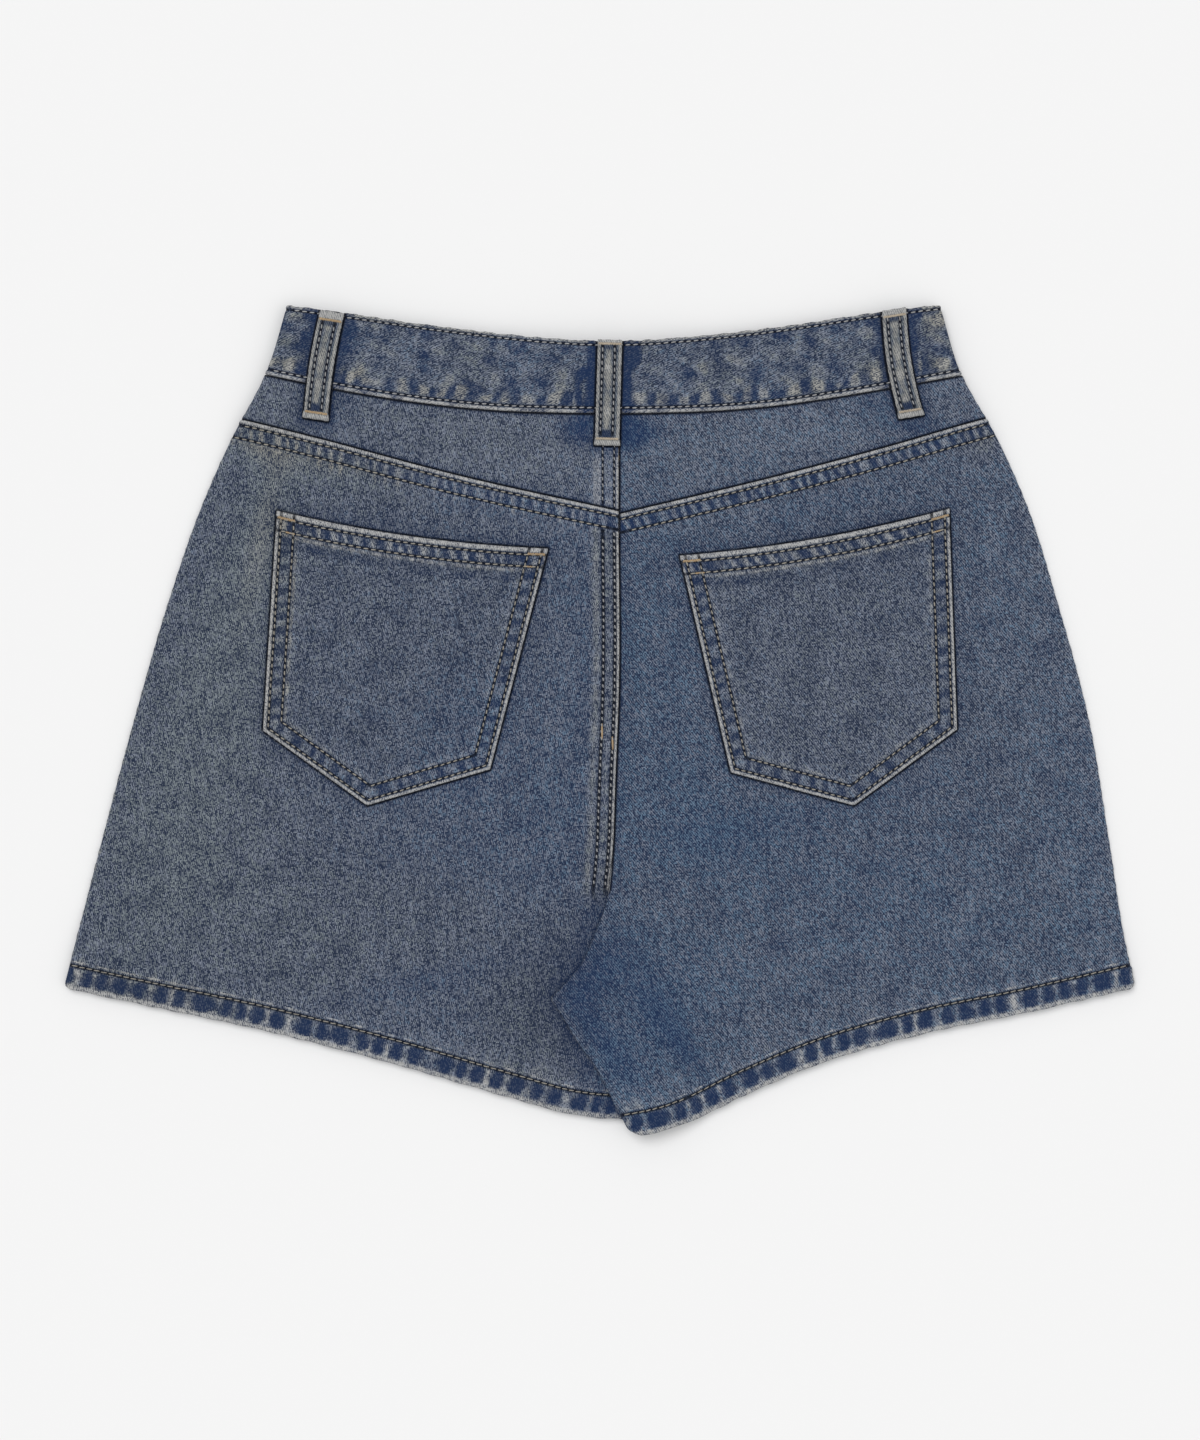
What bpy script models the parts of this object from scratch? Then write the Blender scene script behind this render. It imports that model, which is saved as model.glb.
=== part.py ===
"""High-rise denim shorts laid flat on a table with the back uppermost.

The front panels lie on the table, the back panels and yokes lie on them, and the
patch pockets and belt loops lie on top.  The right leg crosses over the left one
at the fork.  Millimetres until a mesh is made; x runs to the wearer's right, y to
the waist and z up.  Left and right are the wearer's.
"""

import math

import bmesh
import bpy
import numpy as np

MM = 0.001

# Cloth, in millimetres
WALL = 1.2  # one layer of washed denim
FOLDED = 2.4  # two layers: waistband and turned-up hem
SEAM_GAP = 0.3  # between two sewn pieces
RIDGE = 0.8  # how far a felled seam stands up
FELL = 12.0  # width of a twin-stitched seam
FELL_EDGE = 1.5  # the slope beside it
HEM = 13.0  # depth of the turned-up hem
HEM_SLOPE = 1.5
NOSE = 0.8  # length of a rounded edge

# Heights over the table, in millimetres
BAND_LOW = 2.3  # waistband front, held up by the button and the loops
TUCK = 0.6  # a panel's edge lies this far inside the waistband
LIFT_RUN = 65.0  # the front comes down to the table over this length
GAP_SIDE = 0.4  # air between front and back at the side folds
GAP_MIDDLE = 2.6  # air between them in the middle
GAP_RUN = 38.0  # from a fold to the full air
GAP_WAIST = 1.7
WAIST_RUN = 50.0  # the waist's heights fade out over this length
HEM_RUN = 50.0  # the hem's heights fade out over this length
BAND_GAP = 0.5  # air inside the waistband
AWAY_FROM_HEM = 200.0
OVER = 0.8  # the right leg's clearance over the left one
CROSS_START = (64.0, 86.0)  # the crossing builds up between these distances below y = 0
CROSS_MARGIN = (12.0, 38.0)  # how far past the covered cloth it holds and fades

# Fly, in millimetres
LAP_RISE = 2.7  # a buttoned waistband end raises what lies on it this much
ZIP_RISE = 1.7  # and the zip lower down
LAP_HOLD = 30.0  # half widths of that rise at the waist, full and faded out
LAP_FADE = 60.0
ZIP_HOLD = 14.0
ZIP_FADE = 34.0
FLAP_STEP = 1.7  # the right front lies this far over the left one's flap
FLAP_ENDS = (25.0, 40.0)  # y where the flap begins and is at its full width
STEP_ENDS = (-25.0, 3.0)  # y where the right front starts to climb and is up
RISE_ENDS = (-20.0, 20.0)  # y where the back starts to rise over the fly and is up
FRONT_X = 8.0  # centre front
ZIP_FOOT = 31.0  # y of the lower end of the zip
FLY_TOP = 146.0
FLY_FLAP = 12.0  # how far the left front laps past the centre
ZIP_SIDE = 3.0  # the right front starts this far past the centre
FLY_EASE = 40.0  # the cloth beside the fly makes room over this width
ZIP_TAPE = 11.0
ZIP_TAPE_THICK = 0.8
ZIP_CHAIN = 2.4  # half the chain's width
ZIP_CHAIN_THICK = 1.8
SLIDER_LENGTH = 9.0
SLIDER_THICK = 1.6
TAB_THICK = 0.6
TAB_LENGTH = 10.0
UNDERLAP = 28.0  # waistband under the buttoned end
OVERLAP = 8.0
FRONT_DIP = 10.0  # the front waist is lower than the back in the middle
HALF_WAIST = 175.0
BUTTON_IN = 4.0  # the button lies this far inside the centre front
BUTTON_RADIUS = 8.5
BUTTON_THICK = 2.0

# Belt loops, in millimetres
LOOP_WIDTH = 13.0
LOOP_THICK = 1.3
LOOP_FOLD = 0.7  # extra thickness where its ends are turned under
LOOP_BOW = 0.7  # how far its middle stands off
ROUND_OFF = 0.5  # what an edge's rounding takes off the face


def table(columns, *rows):
    """The rows' numbers, one named column each."""
    return dict(zip(columns.split(), np.array(rows, float).T))


# The garment's outline and seams in plan, in millimetres
SIDES = table(
    "y left right",
    (-142.0, -284.6, 284.6),
    (-127.5, -280.9, 280.9),
    (-63.9, -264.5, 270.3),
    (-0.3, -247.5, 259.7),
    (63.3, -229.0, 242.7),
    (116.3, -210.4, 225.8),
    (148.1, -196.1, 211.5),
    (183.0, -177.6, 191.9),
    (220.2, -165.9, 180.2),
)
WAIST = table(
    "x top seam",
    (-178.0, 221.4, 183.2),
    (-141.0, 216.5, 175.4),
    (-77.4, 207.6, 165.9),
    (5.3, 200.6, 162.2),
    (88.0, 207.4, 165.9),
    (151.6, 216.6, 175.4),
    (192.2, 221.4, 182.7),
)
YOKE_SEAM_LEFT = table(
    "x y",
    (9.9, 110.6),
    (-77.4, 130.1),
    (-150.0, 149.3),
    (-185.5, 158.0),
    (-192.6, 155.6),
)
YOKE_SEAM_RIGHT = table(
    "x y",
    (9.9, 109.0),
    (97.5, 130.1),
    (160.0, 147.4),
    (199.0, 157.6),
    (206.6, 156.2),
)
SEAT_SEAM = table("x y", (9.9, 10.3), (8.3, -29.9), (6.3, -76.1), (4.8, -90.9))
FORK_RIGHT = table(
    "x y", (4.8, -90.9), (2.1, -101.0), (-2.9, -111.6), (-10.1, -128.5), (-24.4, -146.5)
)
INSEAM_RIGHT = table(
    "x y", (-24.4, -146.5), (-14.3, -167.2), (-0.7, -186.8), (8.5, -205.4), (17.5, -220.7)
)
FORK_LEFT = table("x y", (4.8, -90.9), (9.5, -111.6), (18.0, -132.8), (22.3, -144.4))
INSEAM_LEFT = table("x y", (22.3, -144.4), (22.8, -175.2), (21.2, -211.7))
HEM_LEFT = table(
    "x y",
    (21.2, -211.7),
    (0.0, -211.2),
    (-15.9, -209.0),
    (-47.7, -200.4),
    (-111.3, -182.0),
    (-174.9, -165.6),
    (-251.8, -149.2),
    (-284.6, -142.0),
)
HEM_RIGHT = table(
    "x y",
    (17.5, -220.7),
    (28.0, -218.8),
    (47.7, -212.8),
    (79.5, -197.9),
    (111.3, -184.4),
    (174.9, -165.8),
    (222.6, -156.1),
    (284.6, -142.0),
)
POCKET_LEFT = table(
    "x y",
    (-171.2, 111.0),
    (-27.6, 90.9),
    (-58.3, -26.2),
    (-123.5, -45.3),
    (-178.6, -5.6),
)
POCKET_RIGHT = table(
    "x y",
    (42.4, 87.2),
    (185.0, 112.1),
    (189.2, -5.0),
    (134.6, -45.3),
    (69.4, -27.8),
)
POCKET_SAG = 3.7  # the pocket's mouth hangs this much
POCKET_HEM = 12.5
POCKET_COLUMNS = (0, 0.006, 0.17, 0.34, 0.5, 0.66, 0.83, 0.994, 1.0)
LOOPS = table(
    "top_x top_y foot_x foot_y",
    (5.3, 201.2, 3.7, 145.6),
    (-142.0, 217.2, -151.6, 161.4),
    (155.3, 217.8, 164.8, 161.8),
)
LOOP_NAMES = ("centre_back", "back_left", "back_right")
FRONT_LOOPS = table(
    "top_x top_y foot_x foot_y",
    (-108.0, 203.5, -112.0, 149.0),
    (124.0, 203.5, 128.0, 149.0),
)
FRONT_LOOP_NAMES = ("front_left", "front_right")

CENTRE = SEAT_SEAM["x"][0]
SIDE_SEAM_Y = 183.0  # the waistband's lower and upper corners at the sides
SIDE_TOP_Y = 220.2

# Where the fork and its tip come along a panel, from 0 at the top to 1 at the hem
FORK_START = 0.64
FORK_TIP = 0.80
SIDE_AT_FORK = -60.0  # the side fold's y at those places
SIDE_AT_TIP = -98.0

DENIM = (0.080, 0.100, 0.145)
DENIM_PALE = (0.125, 0.140, 0.175)
TAPE_NAVY = (0.05, 0.06, 0.09)
BRASS = (0.45, 0.33, 0.16)


# ---------------------------------------------------------------- curves


def ramp(value, start, end):
    """0 before the start, 1 past the end and smooth between them."""
    share = np.clip((value - start) / (end - start), 0.0, 1.0)
    return share * share * (3.0 - 2.0 * share)


def mix(first, second, share):
    return first + (second - first) * share


def through(knots, values, at):
    """A smooth curve through the values at the knots, held flat past the ends."""
    slopes = np.gradient(values, knots)
    at = np.clip(at, knots[0], knots[-1])
    left = np.clip(np.searchsorted(knots, at, side="right") - 1, 0, len(knots) - 2)
    width = knots[left + 1] - knots[left]
    t = (at - knots[left]) / width
    return (
        (1 + 2 * t) * (1 - t) ** 2 * values[left]
        + t * (1 - t) ** 2 * width * slopes[left]
        + t * t * (3 - 2 * t) * values[left + 1]
        + t * t * (t - 1) * width * slopes[left + 1]
    )


def side_x(side, y):
    return through(SIDES["y"], SIDES[side], y)


def waist_y(edge, x):
    return through(WAIST["x"], WAIST[edge], x)


def front_dip(x):
    """How far the front waist lies below the back waist: nothing at the sides."""
    across = (x - FRONT_X) / HALF_WAIST
    return FRONT_DIP * np.clip(1 - across**2, 0, 1) ** 1.5


def along(*curves):
    """Tables of x and y end to end as one curve, by its share of their length."""
    x = np.concatenate([curve["x"] for curve in curves])
    y = np.concatenate([curve["y"] for curve in curves])
    step = np.hypot(np.diff(x), np.diff(y))
    keep = np.concatenate([[True], step > 1e-6])
    x, y = x[keep], y[keep]
    share = np.concatenate([[0], np.cumsum(np.hypot(np.diff(x), np.diff(y)))])
    share /= share[-1]

    def curve(at):
        return np.stack([through(share, x, at), through(share, y, at)], axis=-1)

    return curve


def end_to_end(first, second, third):
    """Three curves, the joints at FORK_START and FORK_TIP."""

    def curve(at):
        at = np.asarray(at, float)[..., None]
        one = first(at[..., 0] / FORK_START)
        two = second((at[..., 0] - FORK_START) / (FORK_TIP - FORK_START))
        three = third((at[..., 0] - FORK_TIP) / (1 - FORK_TIP))
        return np.where(at < FORK_START, one, np.where(at < FORK_TIP, two, three))

    return curve


def x_of(table_of, y):
    """The x of a curve at a height y."""
    order = np.argsort(table_of["y"])
    return np.interp(y, table_of["y"][order], table_of["x"][order])


def y_of(table_of, x):
    order = np.argsort(table_of["x"])
    return np.interp(x, table_of["x"][order], table_of["y"][order])


def joined(first, second):
    return {name: np.concatenate([first[name], second[name]]) for name in first}


INNER_RIGHT = joined(FORK_RIGHT, INSEAM_RIGHT)
INNER_LEFT = joined(FORK_LEFT, INSEAM_LEFT)


# ---------------------------------------------------------------- heights


def below_waist(x, y, front=False):
    return waist_y("seam", x) - front_dip(x) * front - y


def lift(x, y):
    """The front cloth's underside over the table: raised near the waistband."""
    return (BAND_LOW + TUCK) * (1 - ramp(below_waist(x, y, True), 0, LIFT_RUN))


def near_waist(x, y):
    return 1 - ramp(below_waist(x, y), 0, WAIST_RUN)


def near_hem(distance):
    return 1 - ramp(distance, HEM + HEM_SLOPE, HEM_RUN)


def over_fly(x, y):
    """1 over the fly and 0 away from it, wider towards the waist."""
    near = near_waist(x, y)
    hold = mix(ZIP_HOLD, LAP_HOLD, near)
    fade = mix(ZIP_FADE, LAP_FADE, near)
    return 1 - ramp(np.abs(x - FRONT_X), hold, fade)


def centre_rise(x, y):
    """How far the zip and the lapped waistband raise the back."""
    height = mix(ZIP_RISE, LAP_RISE, near_waist(x, y))
    return height * over_fly(x, y) * ramp(y, *RISE_ENDS)


def fly_lift(x, y):
    """How far the right front lies over the left front's flap and the zip."""
    height = mix(FLAP_STEP, LAP_RISE, near_waist(x, y))
    return height * over_fly(x, y) * ramp(y, *STEP_ENDS)


def pressed(x, y):
    """1 where the right leg lies on the left one, and a little past that."""
    hold, fade = CROSS_MARGIN
    edge = x_of(INNER_RIGHT, y)
    return ramp(x, edge - fade, edge - hold) * ramp(-y, *CROSS_START)


def crossing(x, y):
    """1 where the right leg has the left one under it, and a little past that."""
    hold, fade = CROSS_MARGIN
    edge = x_of(INNER_LEFT, y)
    return (1 - ramp(x, edge + hold, edge + fade)) * ramp(-y, *CROSS_START)


def gap(leg, x, y, to_hem):
    """The air between a leg's front and back."""
    inside = ramp(np.abs(x - side_x(leg, y)), 0, GAP_RUN)
    if leg == "left":
        inside = inside * (1 - pressed(x, y))
    else:
        past_inseam = ramp(x - x_of(INNER_RIGHT, y), 0, GAP_RUN)
        inside = inside * np.maximum(past_inseam * (1 - crossing(x, y)), 1 - ramp(-y, *CROSS_START))
    air = mix(GAP_SIDE, GAP_MIDDLE, inside)
    air = mix(air, GAP_WAIST, near_waist(x, y))
    return mix(air, 2 * (FOLDED - WALL) + GAP_SIDE, near_hem(to_hem))


def over_left_leg(x, y):
    """How far the right leg is raised where it lies on the left one."""
    thickness = mix(2 * WALL, 2 * FOLDED, near_hem(y - y_of(HEM_LEFT, x) - HEM_SLOPE))
    return crossing(x, y) * (thickness + GAP_SIDE + OVER)


def front_low(leg, x, y):
    """The underside of a leg's front."""
    if leg == "left":
        return lift(x, y)
    return lift(x, y) + fly_lift(x, y) + over_left_leg(x, y)


def back_low(leg, x, y, to_hem):
    """The underside of one layer of cloth on a leg's back."""
    low = lift(x, y) + WALL + gap(leg, x, y, to_hem) + centre_rise(x, y)
    return low + over_left_leg(x, y) * (leg == "right")


def back_top(x, y):
    """The top of the back cloth away from the hem, for what is sewn on it."""
    low = [back_low(leg, x, y, AWAY_FROM_HEM) for leg in ("left", "right")]
    return np.where(x < CENTRE, low[0], low[1]) + WALL


def band_low_back(x):
    """The underside of the waistband's back."""
    lap = LAP_RISE * (1 - ramp(np.abs(x - FRONT_X), LAP_HOLD, LAP_FADE))
    return BAND_LOW + FOLDED + BAND_GAP + lap


def band_low_front(x, under):
    """The waistband's front; under is 1 on the half that is buttoned inside the other."""
    return BAND_LOW + under * LAP_RISE * (1 - ramp(x - FRONT_X, LAP_HOLD, LAP_FADE))


# ---------------------------------------------------------------- meshes


def new_material(name, colour, roughness, metallic=0.0):
    material = bpy.data.materials.new(name)
    material.use_nodes = True
    shader = material.node_tree.nodes["Principled BSDF"]
    shader.inputs["Base Color"].default_value = (*colour, 1.0)
    shader.inputs["Roughness"].default_value = roughness
    shader.inputs["Metallic"].default_value = metallic
    return material


def finish(mesh, name, collection, colour=DENIM, roughness=0.9, metallic=0.0):
    """Makes the mesh a named object with its own material."""
    mesh.shade_smooth()
    mesh.set_sharp_from_angle(angle=math.radians(40))
    mesh.materials.append(new_material(name, colour, roughness, metallic))
    piece = bpy.data.objects.new(name, mesh)
    collection.objects.link(piece)
    return piece


def cloth_wall(name, outer, inner, collection, **look):
    """A closed wall between two grids of points, rows by columns by x, y and z."""
    rows, columns = outer.shape[:2]
    mesh = bpy.data.meshes.new(name)
    work = bmesh.new()
    layers = []
    for grid in (outer, inner):
        points = (grid * MM).reshape(-1, 3)
        layers.append(np.array([work.verts.new(p) for p in points]).reshape(rows, columns))
    for layer in layers:
        for i in range(rows - 1):
            for j in range(columns - 1):
                work.faces.new((layer[i, j], layer[i, j + 1], layer[i + 1, j + 1], layer[i + 1, j]))
    rim = [(0, j) for j in range(columns)] + [(i, columns - 1) for i in range(1, rows)]
    rim += [(rows - 1, j) for j in range(columns - 2, -1, -1)] + [(i, 0) for i in range(rows - 2, 0, -1)]
    for here, after in zip(rim, rim[1:] + rim[:1]):
        work.faces.new((layers[0][here], layers[0][after], layers[1][after], layers[1][here]))
    bmesh.ops.recalc_face_normals(work, faces=work.faces)
    bmesh.ops.triangulate(work, faces=work.faces)
    work.to_mesh(mesh)
    work.free()
    return finish(mesh, name, collection, **look)


def with_height(plan, height):
    return np.concatenate([plan, np.asarray(height)[..., None]], axis=-1)


def patch(inner, outer, top, bottom):
    """The plan position between four edge curves, by the shares across and down."""

    def at(across, down):
        s, t = across[..., None], down[..., None]
        between = (1 - s) * inner(down) + s * outer(down)
        top_bend = top(across) - (1 - s) * top(np.zeros(1)) - s * top(np.ones(1))
        low_bend = bottom(across) - (1 - s) * bottom(np.zeros(1)) - s * bottom(np.ones(1))
        return between + (1 - t) * top_bend + t * low_bend

    return at


def spacing(place, width, from_inner, middle, from_outer, from_top, downs, from_hem):
    """Plan points of a panel, rows by columns, and their distances up from the hem.

    Columns keep their distances from the inner and outer edges, and rows theirs from
    the top and the hem; those between them are shared out.  width is the panel's
    width at evenly spaced shares of its length.
    """
    fine = np.linspace(0, 1, len(width))
    first = from_inner[-1] / width
    last = 1 - from_outer[0] / width
    shares = [distance / width for distance in from_inner]
    shares += [mix(first, last, share) for share in middle]
    shares += [1 - distance / width for distance in from_outer]
    columns, to_hem = [], []
    for share in shares:
        path = place(share, fine)
        length = np.concatenate([[0], np.cumsum(np.hypot(*np.diff(path, axis=0).T))])
        stops = list(from_top) + list(np.interp(downs, fine, length))
        stops += [length[-1] - distance for distance in from_hem]
        columns.append(np.stack([np.interp(stops, length, path[:, k]) for k in (0, 1)], axis=-1))
        to_hem.append(length[-1] - np.array(stops))
    return np.stack(columns, axis=1), np.stack(to_hem, axis=1)


FOLD_TURN = np.radians((0, 30, 60, 90))  # a folded edge's columns, by angle
BUTT_STEP = np.array((0.0, 0.4, 0.8, 1.2))  # a sewn edge's columns, by distance
BUTT_DROP = np.array((0.25, 0.1, 0.0, 0.0))


def edge_columns(edge, beside, low, high, thick, fold, up):
    """The last columns of a panel, rounded over where it folds and square where it is sewn.

    edge and beside are plan points on the edge and further in.  low and high are the
    heights of the whole leg there.  up is 1 for the back and -1 for the front.
    Returns outer and inner points, the edge first.
    """
    fold, thick = fold[:, None], thick[:, None]
    middle, radius = ((high + low) / 2)[:, None], ((high - low) / 2)[:, None]
    inside = np.maximum(radius - thick, 0.1)
    least = SEAM_GAP / 2 * (FOLD_TURN == 0)
    face = np.where(up > 0, high, low)[:, None]
    inward = unit(beside - edge)[:, None, :]
    sides = []
    for reach, sewn_height in ((radius, face - up * BUTT_DROP), (inside, face - up * thick)):
        step = np.where(fold, radius - reach * np.cos(FOLD_TURN), BUTT_STEP)
        height = middle + up * np.maximum(reach * np.sin(FOLD_TURN), least)
        height = np.where(fold, height, sewn_height)
        sides.append(with_height(edge[:, None, :] + inward * step[..., None], height))
    return sides


def unit(vectors):
    return vectors / np.hypot(vectors[..., 0], vectors[..., 1])[..., None]


def with_edges(plan, face, thick, whole, fold, up):
    """Outer and inner points of a panel with its two edges finished.

    whole is the pair of heights, low and high, of the leg at each point.
    """
    outer, inner = with_height(plan, face), with_height(plan, face - up * thick)
    always = np.ones(len(plan), bool)
    centre_outer, centre_inner = edge_columns(
        plan[:, 0], plan[:, 1], whole[0][:, 0], whole[1][:, 0], thick[:, 0], fold, up
    )
    side_outer, side_inner = edge_columns(
        plan[:, -1], plan[:, -2], whole[0][:, -1], whole[1][:, -1], thick[:, -1], always, up
    )
    outer = np.concatenate([centre_outer, outer[:, 1:-1], side_outer[:, ::-1]], axis=1)
    inner = np.concatenate([centre_inner, inner[:, 1:-1], side_inner[:, ::-1]], axis=1)
    return outer, inner


def round_row(outer, inner, row, share):
    """Thins a row to a share of its thickness, so that the edge there is round."""
    middle = (outer[row] + inner[row]) / 2
    outer[row] = mix(middle, outer[row], share)
    inner[row] = mix(middle, inner[row], share)


# ---------------------------------------------------------------- leg panels

ROWS_DOWN = (0.12, 0.2, 0.29, 0.38, 0.47, 0.54, 0.6, FORK_START, 0.68, 0.72, 0.76, FORK_TIP, 0.84, 0.89)
HEM_ROWS = (HEM + HEM_SLOPE, HEM, NOSE, 0.0)
COLUMNS_MIDDLE = (0.04, 0.09, 0.15, 0.23, 0.33, 0.45, 0.58, 0.71, 0.84, 0.93)
COLUMNS_OUTER = (9.0, 4.5, 0.0)
FELL_STEPS = (0.0, FELL, FELL + FELL_EDGE)
WIDTHS_AT = np.linspace(0, 1, 401)


def leg_curves(leg, top):
    """Inner edge, outer edge and hem of a leg's panel, each by its share of the length."""
    fork, inseam, hem = FORK_LEFT, INSEAM_LEFT, HEM_LEFT
    if leg == "right":
        fork, inseam, hem = FORK_RIGHT, INSEAM_RIGHT, HEM_RIGHT
    seam = {name: np.concatenate([top[name][:1], SEAT_SEAM[name]]) for name in "xy"}
    inner = end_to_end(along(seam), along(fork), along(inseam))
    side_y = (top["y"][-1], SIDE_AT_FORK, SIDE_AT_TIP, hem["y"][-1])

    def outer(at):
        y = np.interp(at, (0, FORK_START, FORK_TIP, 1), side_y)
        return np.stack([side_x(leg, y), y], axis=-1)

    return inner, outer, along(hem)


def leg_panel(name, leg, up, top, from_top, from_inner, collection, shift=None):
    """A front or back panel: up is 1 for the back and -1 for the front."""
    inner_edge, outer_edge, hem = leg_curves(leg, top)
    place = patch(inner_edge, outer_edge, along(top), hem)
    width = np.hypot(*(outer_edge(WIDTHS_AT) - inner_edge(WIDTHS_AT)).T)
    plan, to_hem = spacing(
        place, width, from_inner, COLUMNS_MIDDLE, COLUMNS_OUTER, from_top, ROWS_DOWN, HEM_ROWS
    )
    if shift is not None:
        plan = shift(plan)
    x, y = plan[..., 0], plan[..., 1]
    sewn = np.arange(len(plan)) <= len(from_top) + ROWS_DOWN.index(FORK_START)
    thick = np.where(to_hem <= HEM + 0.01, FOLDED, WALL)
    low, high = front_low(leg, x, y), back_low(leg, x, y, to_hem) + WALL
    if up > 0:
        folded = np.zeros(x.shape, bool)
        folded[: len(FELL_STEPS) - 1] = True
        if leg == "left":
            folded[sewn, : from_inner.index(FELL) + 1] = True
        high = high + RIDGE * folded
        thick = thick + RIDGE * folded
    plan[sewn, 0, 0] += SEAM_GAP / 2 * (1 if leg == "right" else -1)
    outer, inner = with_edges(plan, high if up > 0 else low, thick, (low, high), ~sewn, up)
    outer[0, :, 1] -= SEAM_GAP / 2
    inner[0, :, 1] -= SEAM_GAP / 2
    round_row(outer, inner, -1, 0.45)
    return cloth_wall(name, outer, inner, collection)


def fly_flap(plan):
    """The left front's edge, carried past the centre down to the end of the zip."""
    moved = plan.copy()
    reach = ramp(plan[..., 1], *FLAP_ENDS)
    fade = 1 - np.clip((FRONT_X - plan[..., 0]) / FLY_EASE, 0, 1)
    moved[..., 0] += (FLY_FLAP + FRONT_X - CENTRE) * reach * fade
    return moved


def zip_side(plan):
    """The right front's edge, drawn back beside the zip."""
    moved = plan.copy()
    reach = ramp(plan[..., 1], *FLAP_ENDS)
    fade = 1 - np.clip((plan[..., 0] - FRONT_X) / FLY_EASE, 0, 1)
    moved[..., 0] += (ZIP_SIDE + FRONT_X - CENTRE) * reach * fade
    return moved


def front_waist(leg):
    """The seam of the front panel and the waistband, from the centre out."""
    x = CENTRE + (side_x(leg, SIDE_SEAM_Y) - CENTRE) * np.linspace(0, 1, 6)
    return {"x": x, "y": waist_y("seam", x) - front_dip(x)}


def back_panels(collection):
    columns = (0.0, 5.0, FELL, FELL + FELL_EDGE, 22.0)
    for leg, seam in (("left", YOKE_SEAM_LEFT), ("right", YOKE_SEAM_RIGHT)):
        leg_panel("back_panel_" + leg, leg, 1, seam, FELL_STEPS, columns, collection)


def front_panels(collection):
    columns = (0.0, 5.0, 14.0, 24.0)
    for leg, shift in (("left", fly_flap), ("right", zip_side)):
        top = front_waist(leg)
        leg_panel("front_panel_" + leg, leg, -1, top, (0.0, 12.0, 24.0), columns, collection, shift)


# ---------------------------------------------------------------- yokes


def yoke(leg, seam, collection):
    """The shaped piece between the waistband and the seat."""
    side_y = (waist_y("seam", side_x(leg, SIDE_SEAM_Y)), seam["y"][-1])
    centre_y = (waist_y("seam", CENTRE), seam["y"][0])

    def outer_edge(at):
        y = mix(*side_y, at)
        return np.stack([side_x(leg, y), y], axis=-1)

    def inner_edge(at):
        y = mix(*centre_y, at)
        return np.stack([np.full_like(y, CENTRE), y], axis=-1)

    def top_edge(at):
        x = mix(CENTRE, side_x(leg, side_y[0]), at)
        return np.stack([x, waist_y("seam", x)], axis=-1)

    place = patch(inner_edge, outer_edge, top_edge, along(seam))
    width = np.hypot(*(outer_edge(WIDTHS_AT) - inner_edge(WIDTHS_AT)).T)
    columns = (0.0, 5.0, FELL, FELL + FELL_EDGE)
    plan, _ = spacing(
        place, width, columns, COLUMNS_MIDDLE, COLUMNS_OUTER, (0.0,), (0.25, 0.5, 0.75), (0.0,)
    )
    x, y = plan[..., 0], plan[..., 1]
    thick = np.full(x.shape, WALL)
    if leg == "left":
        thick[:, : columns.index(FELL) + 1] += RIDGE
    low, high = front_low(leg, x, y), back_low(leg, x, y, AWAY_FROM_HEM) + thick
    plan[:, 0, 0] += SEAM_GAP / 2 * (1 if leg == "right" else -1)
    outer, inner = with_edges(plan, high, thick, (low, high), np.zeros(len(plan), bool), 1)
    for grid in (outer, inner):
        grid[0, :, 1] -= SEAM_GAP / 2
        grid[-1, :, 1] += SEAM_GAP / 2
    return cloth_wall("yoke_" + leg, outer, inner, collection)


# ---------------------------------------------------------------- waistband


BAND_HEIGHTS = np.array((0.0, 0.025, 0.5, 0.975, 1.0))  # shares of the waistband's height
BAND_TURN = np.radians((-90, -45, 0, 45, 90))


def band_point(x, height, front):
    """y on the waistband at a share of its height."""
    low = waist_y("seam", x) + SEAM_GAP / 2
    return mix(low, waist_y("top", x), height) - front_dip(x) * front


def band_station(x, front, face, back):
    """One line across the waistband: its outer and inner points."""
    plan = np.stack([x, band_point(x, BAND_HEIGHTS, front)], axis=-1)
    return with_height(plan, face), with_height(plan, back)


def band_fold(edge, inward, turn):
    """The waistband's lines round a side fold."""
    high = band_low_back(edge) + FOLDED
    middle, radius = (high + BAND_LOW) / 2, (high - BAND_LOW) / 2
    for angle in turn:
        points = []
        for reach in (radius, radius - FOLDED):
            x = edge + inward * (radius - reach * math.cos(angle))
            plan = np.stack([x, band_point(x, BAND_HEIGHTS, 0.0)], axis=-1)
            points.append(with_height(plan, middle + reach * math.sin(angle)))
        yield points


def waistband(collection):
    """One strip from the inner buttoned end, round the back, to the outer end."""
    side_y = mix(SIDE_SEAM_Y, SIDE_TOP_Y, BAND_HEIGHTS)
    left, right = side_x("left", side_y), side_x("right", side_y)
    radius = (band_low_back(right) + FOLDED - BAND_LOW) / 2
    left_in, right_in = left + radius, right - radius
    stations = []
    for share in np.linspace(0, 1, 13)[:-1]:
        x = mix(FRONT_X - UNDERLAP, right_in, share)
        face = band_low_front(x, 1.0)
        stations.append(band_station(x, 1.0, face, face + FOLDED))
    stations.extend(band_fold(right, -1, BAND_TURN))
    for share in np.linspace(0, 1, 21)[1:-1]:
        x = mix(right_in, left_in, share)
        back = band_low_back(x)
        stations.append(band_station(x, 0.0, back + FOLDED, back))
    stations.extend(band_fold(left, 1, BAND_TURN[::-1]))
    for share in np.linspace(0, 1, 11)[1:]:
        x = mix(left_in, FRONT_X + OVERLAP, share)
        face = band_low_front(x, 0.0)
        stations.append(band_station(x, 1.0, face, face + FOLDED))
    outer, inner = (np.stack(side, axis=1) for side in zip(*stations))
    round_row(outer, inner, 0, 0.6)
    round_row(outer, inner, -1, 0.5)
    return cloth_wall("waistband", outer, inner, collection)


# ---------------------------------------------------------------- pockets


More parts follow.
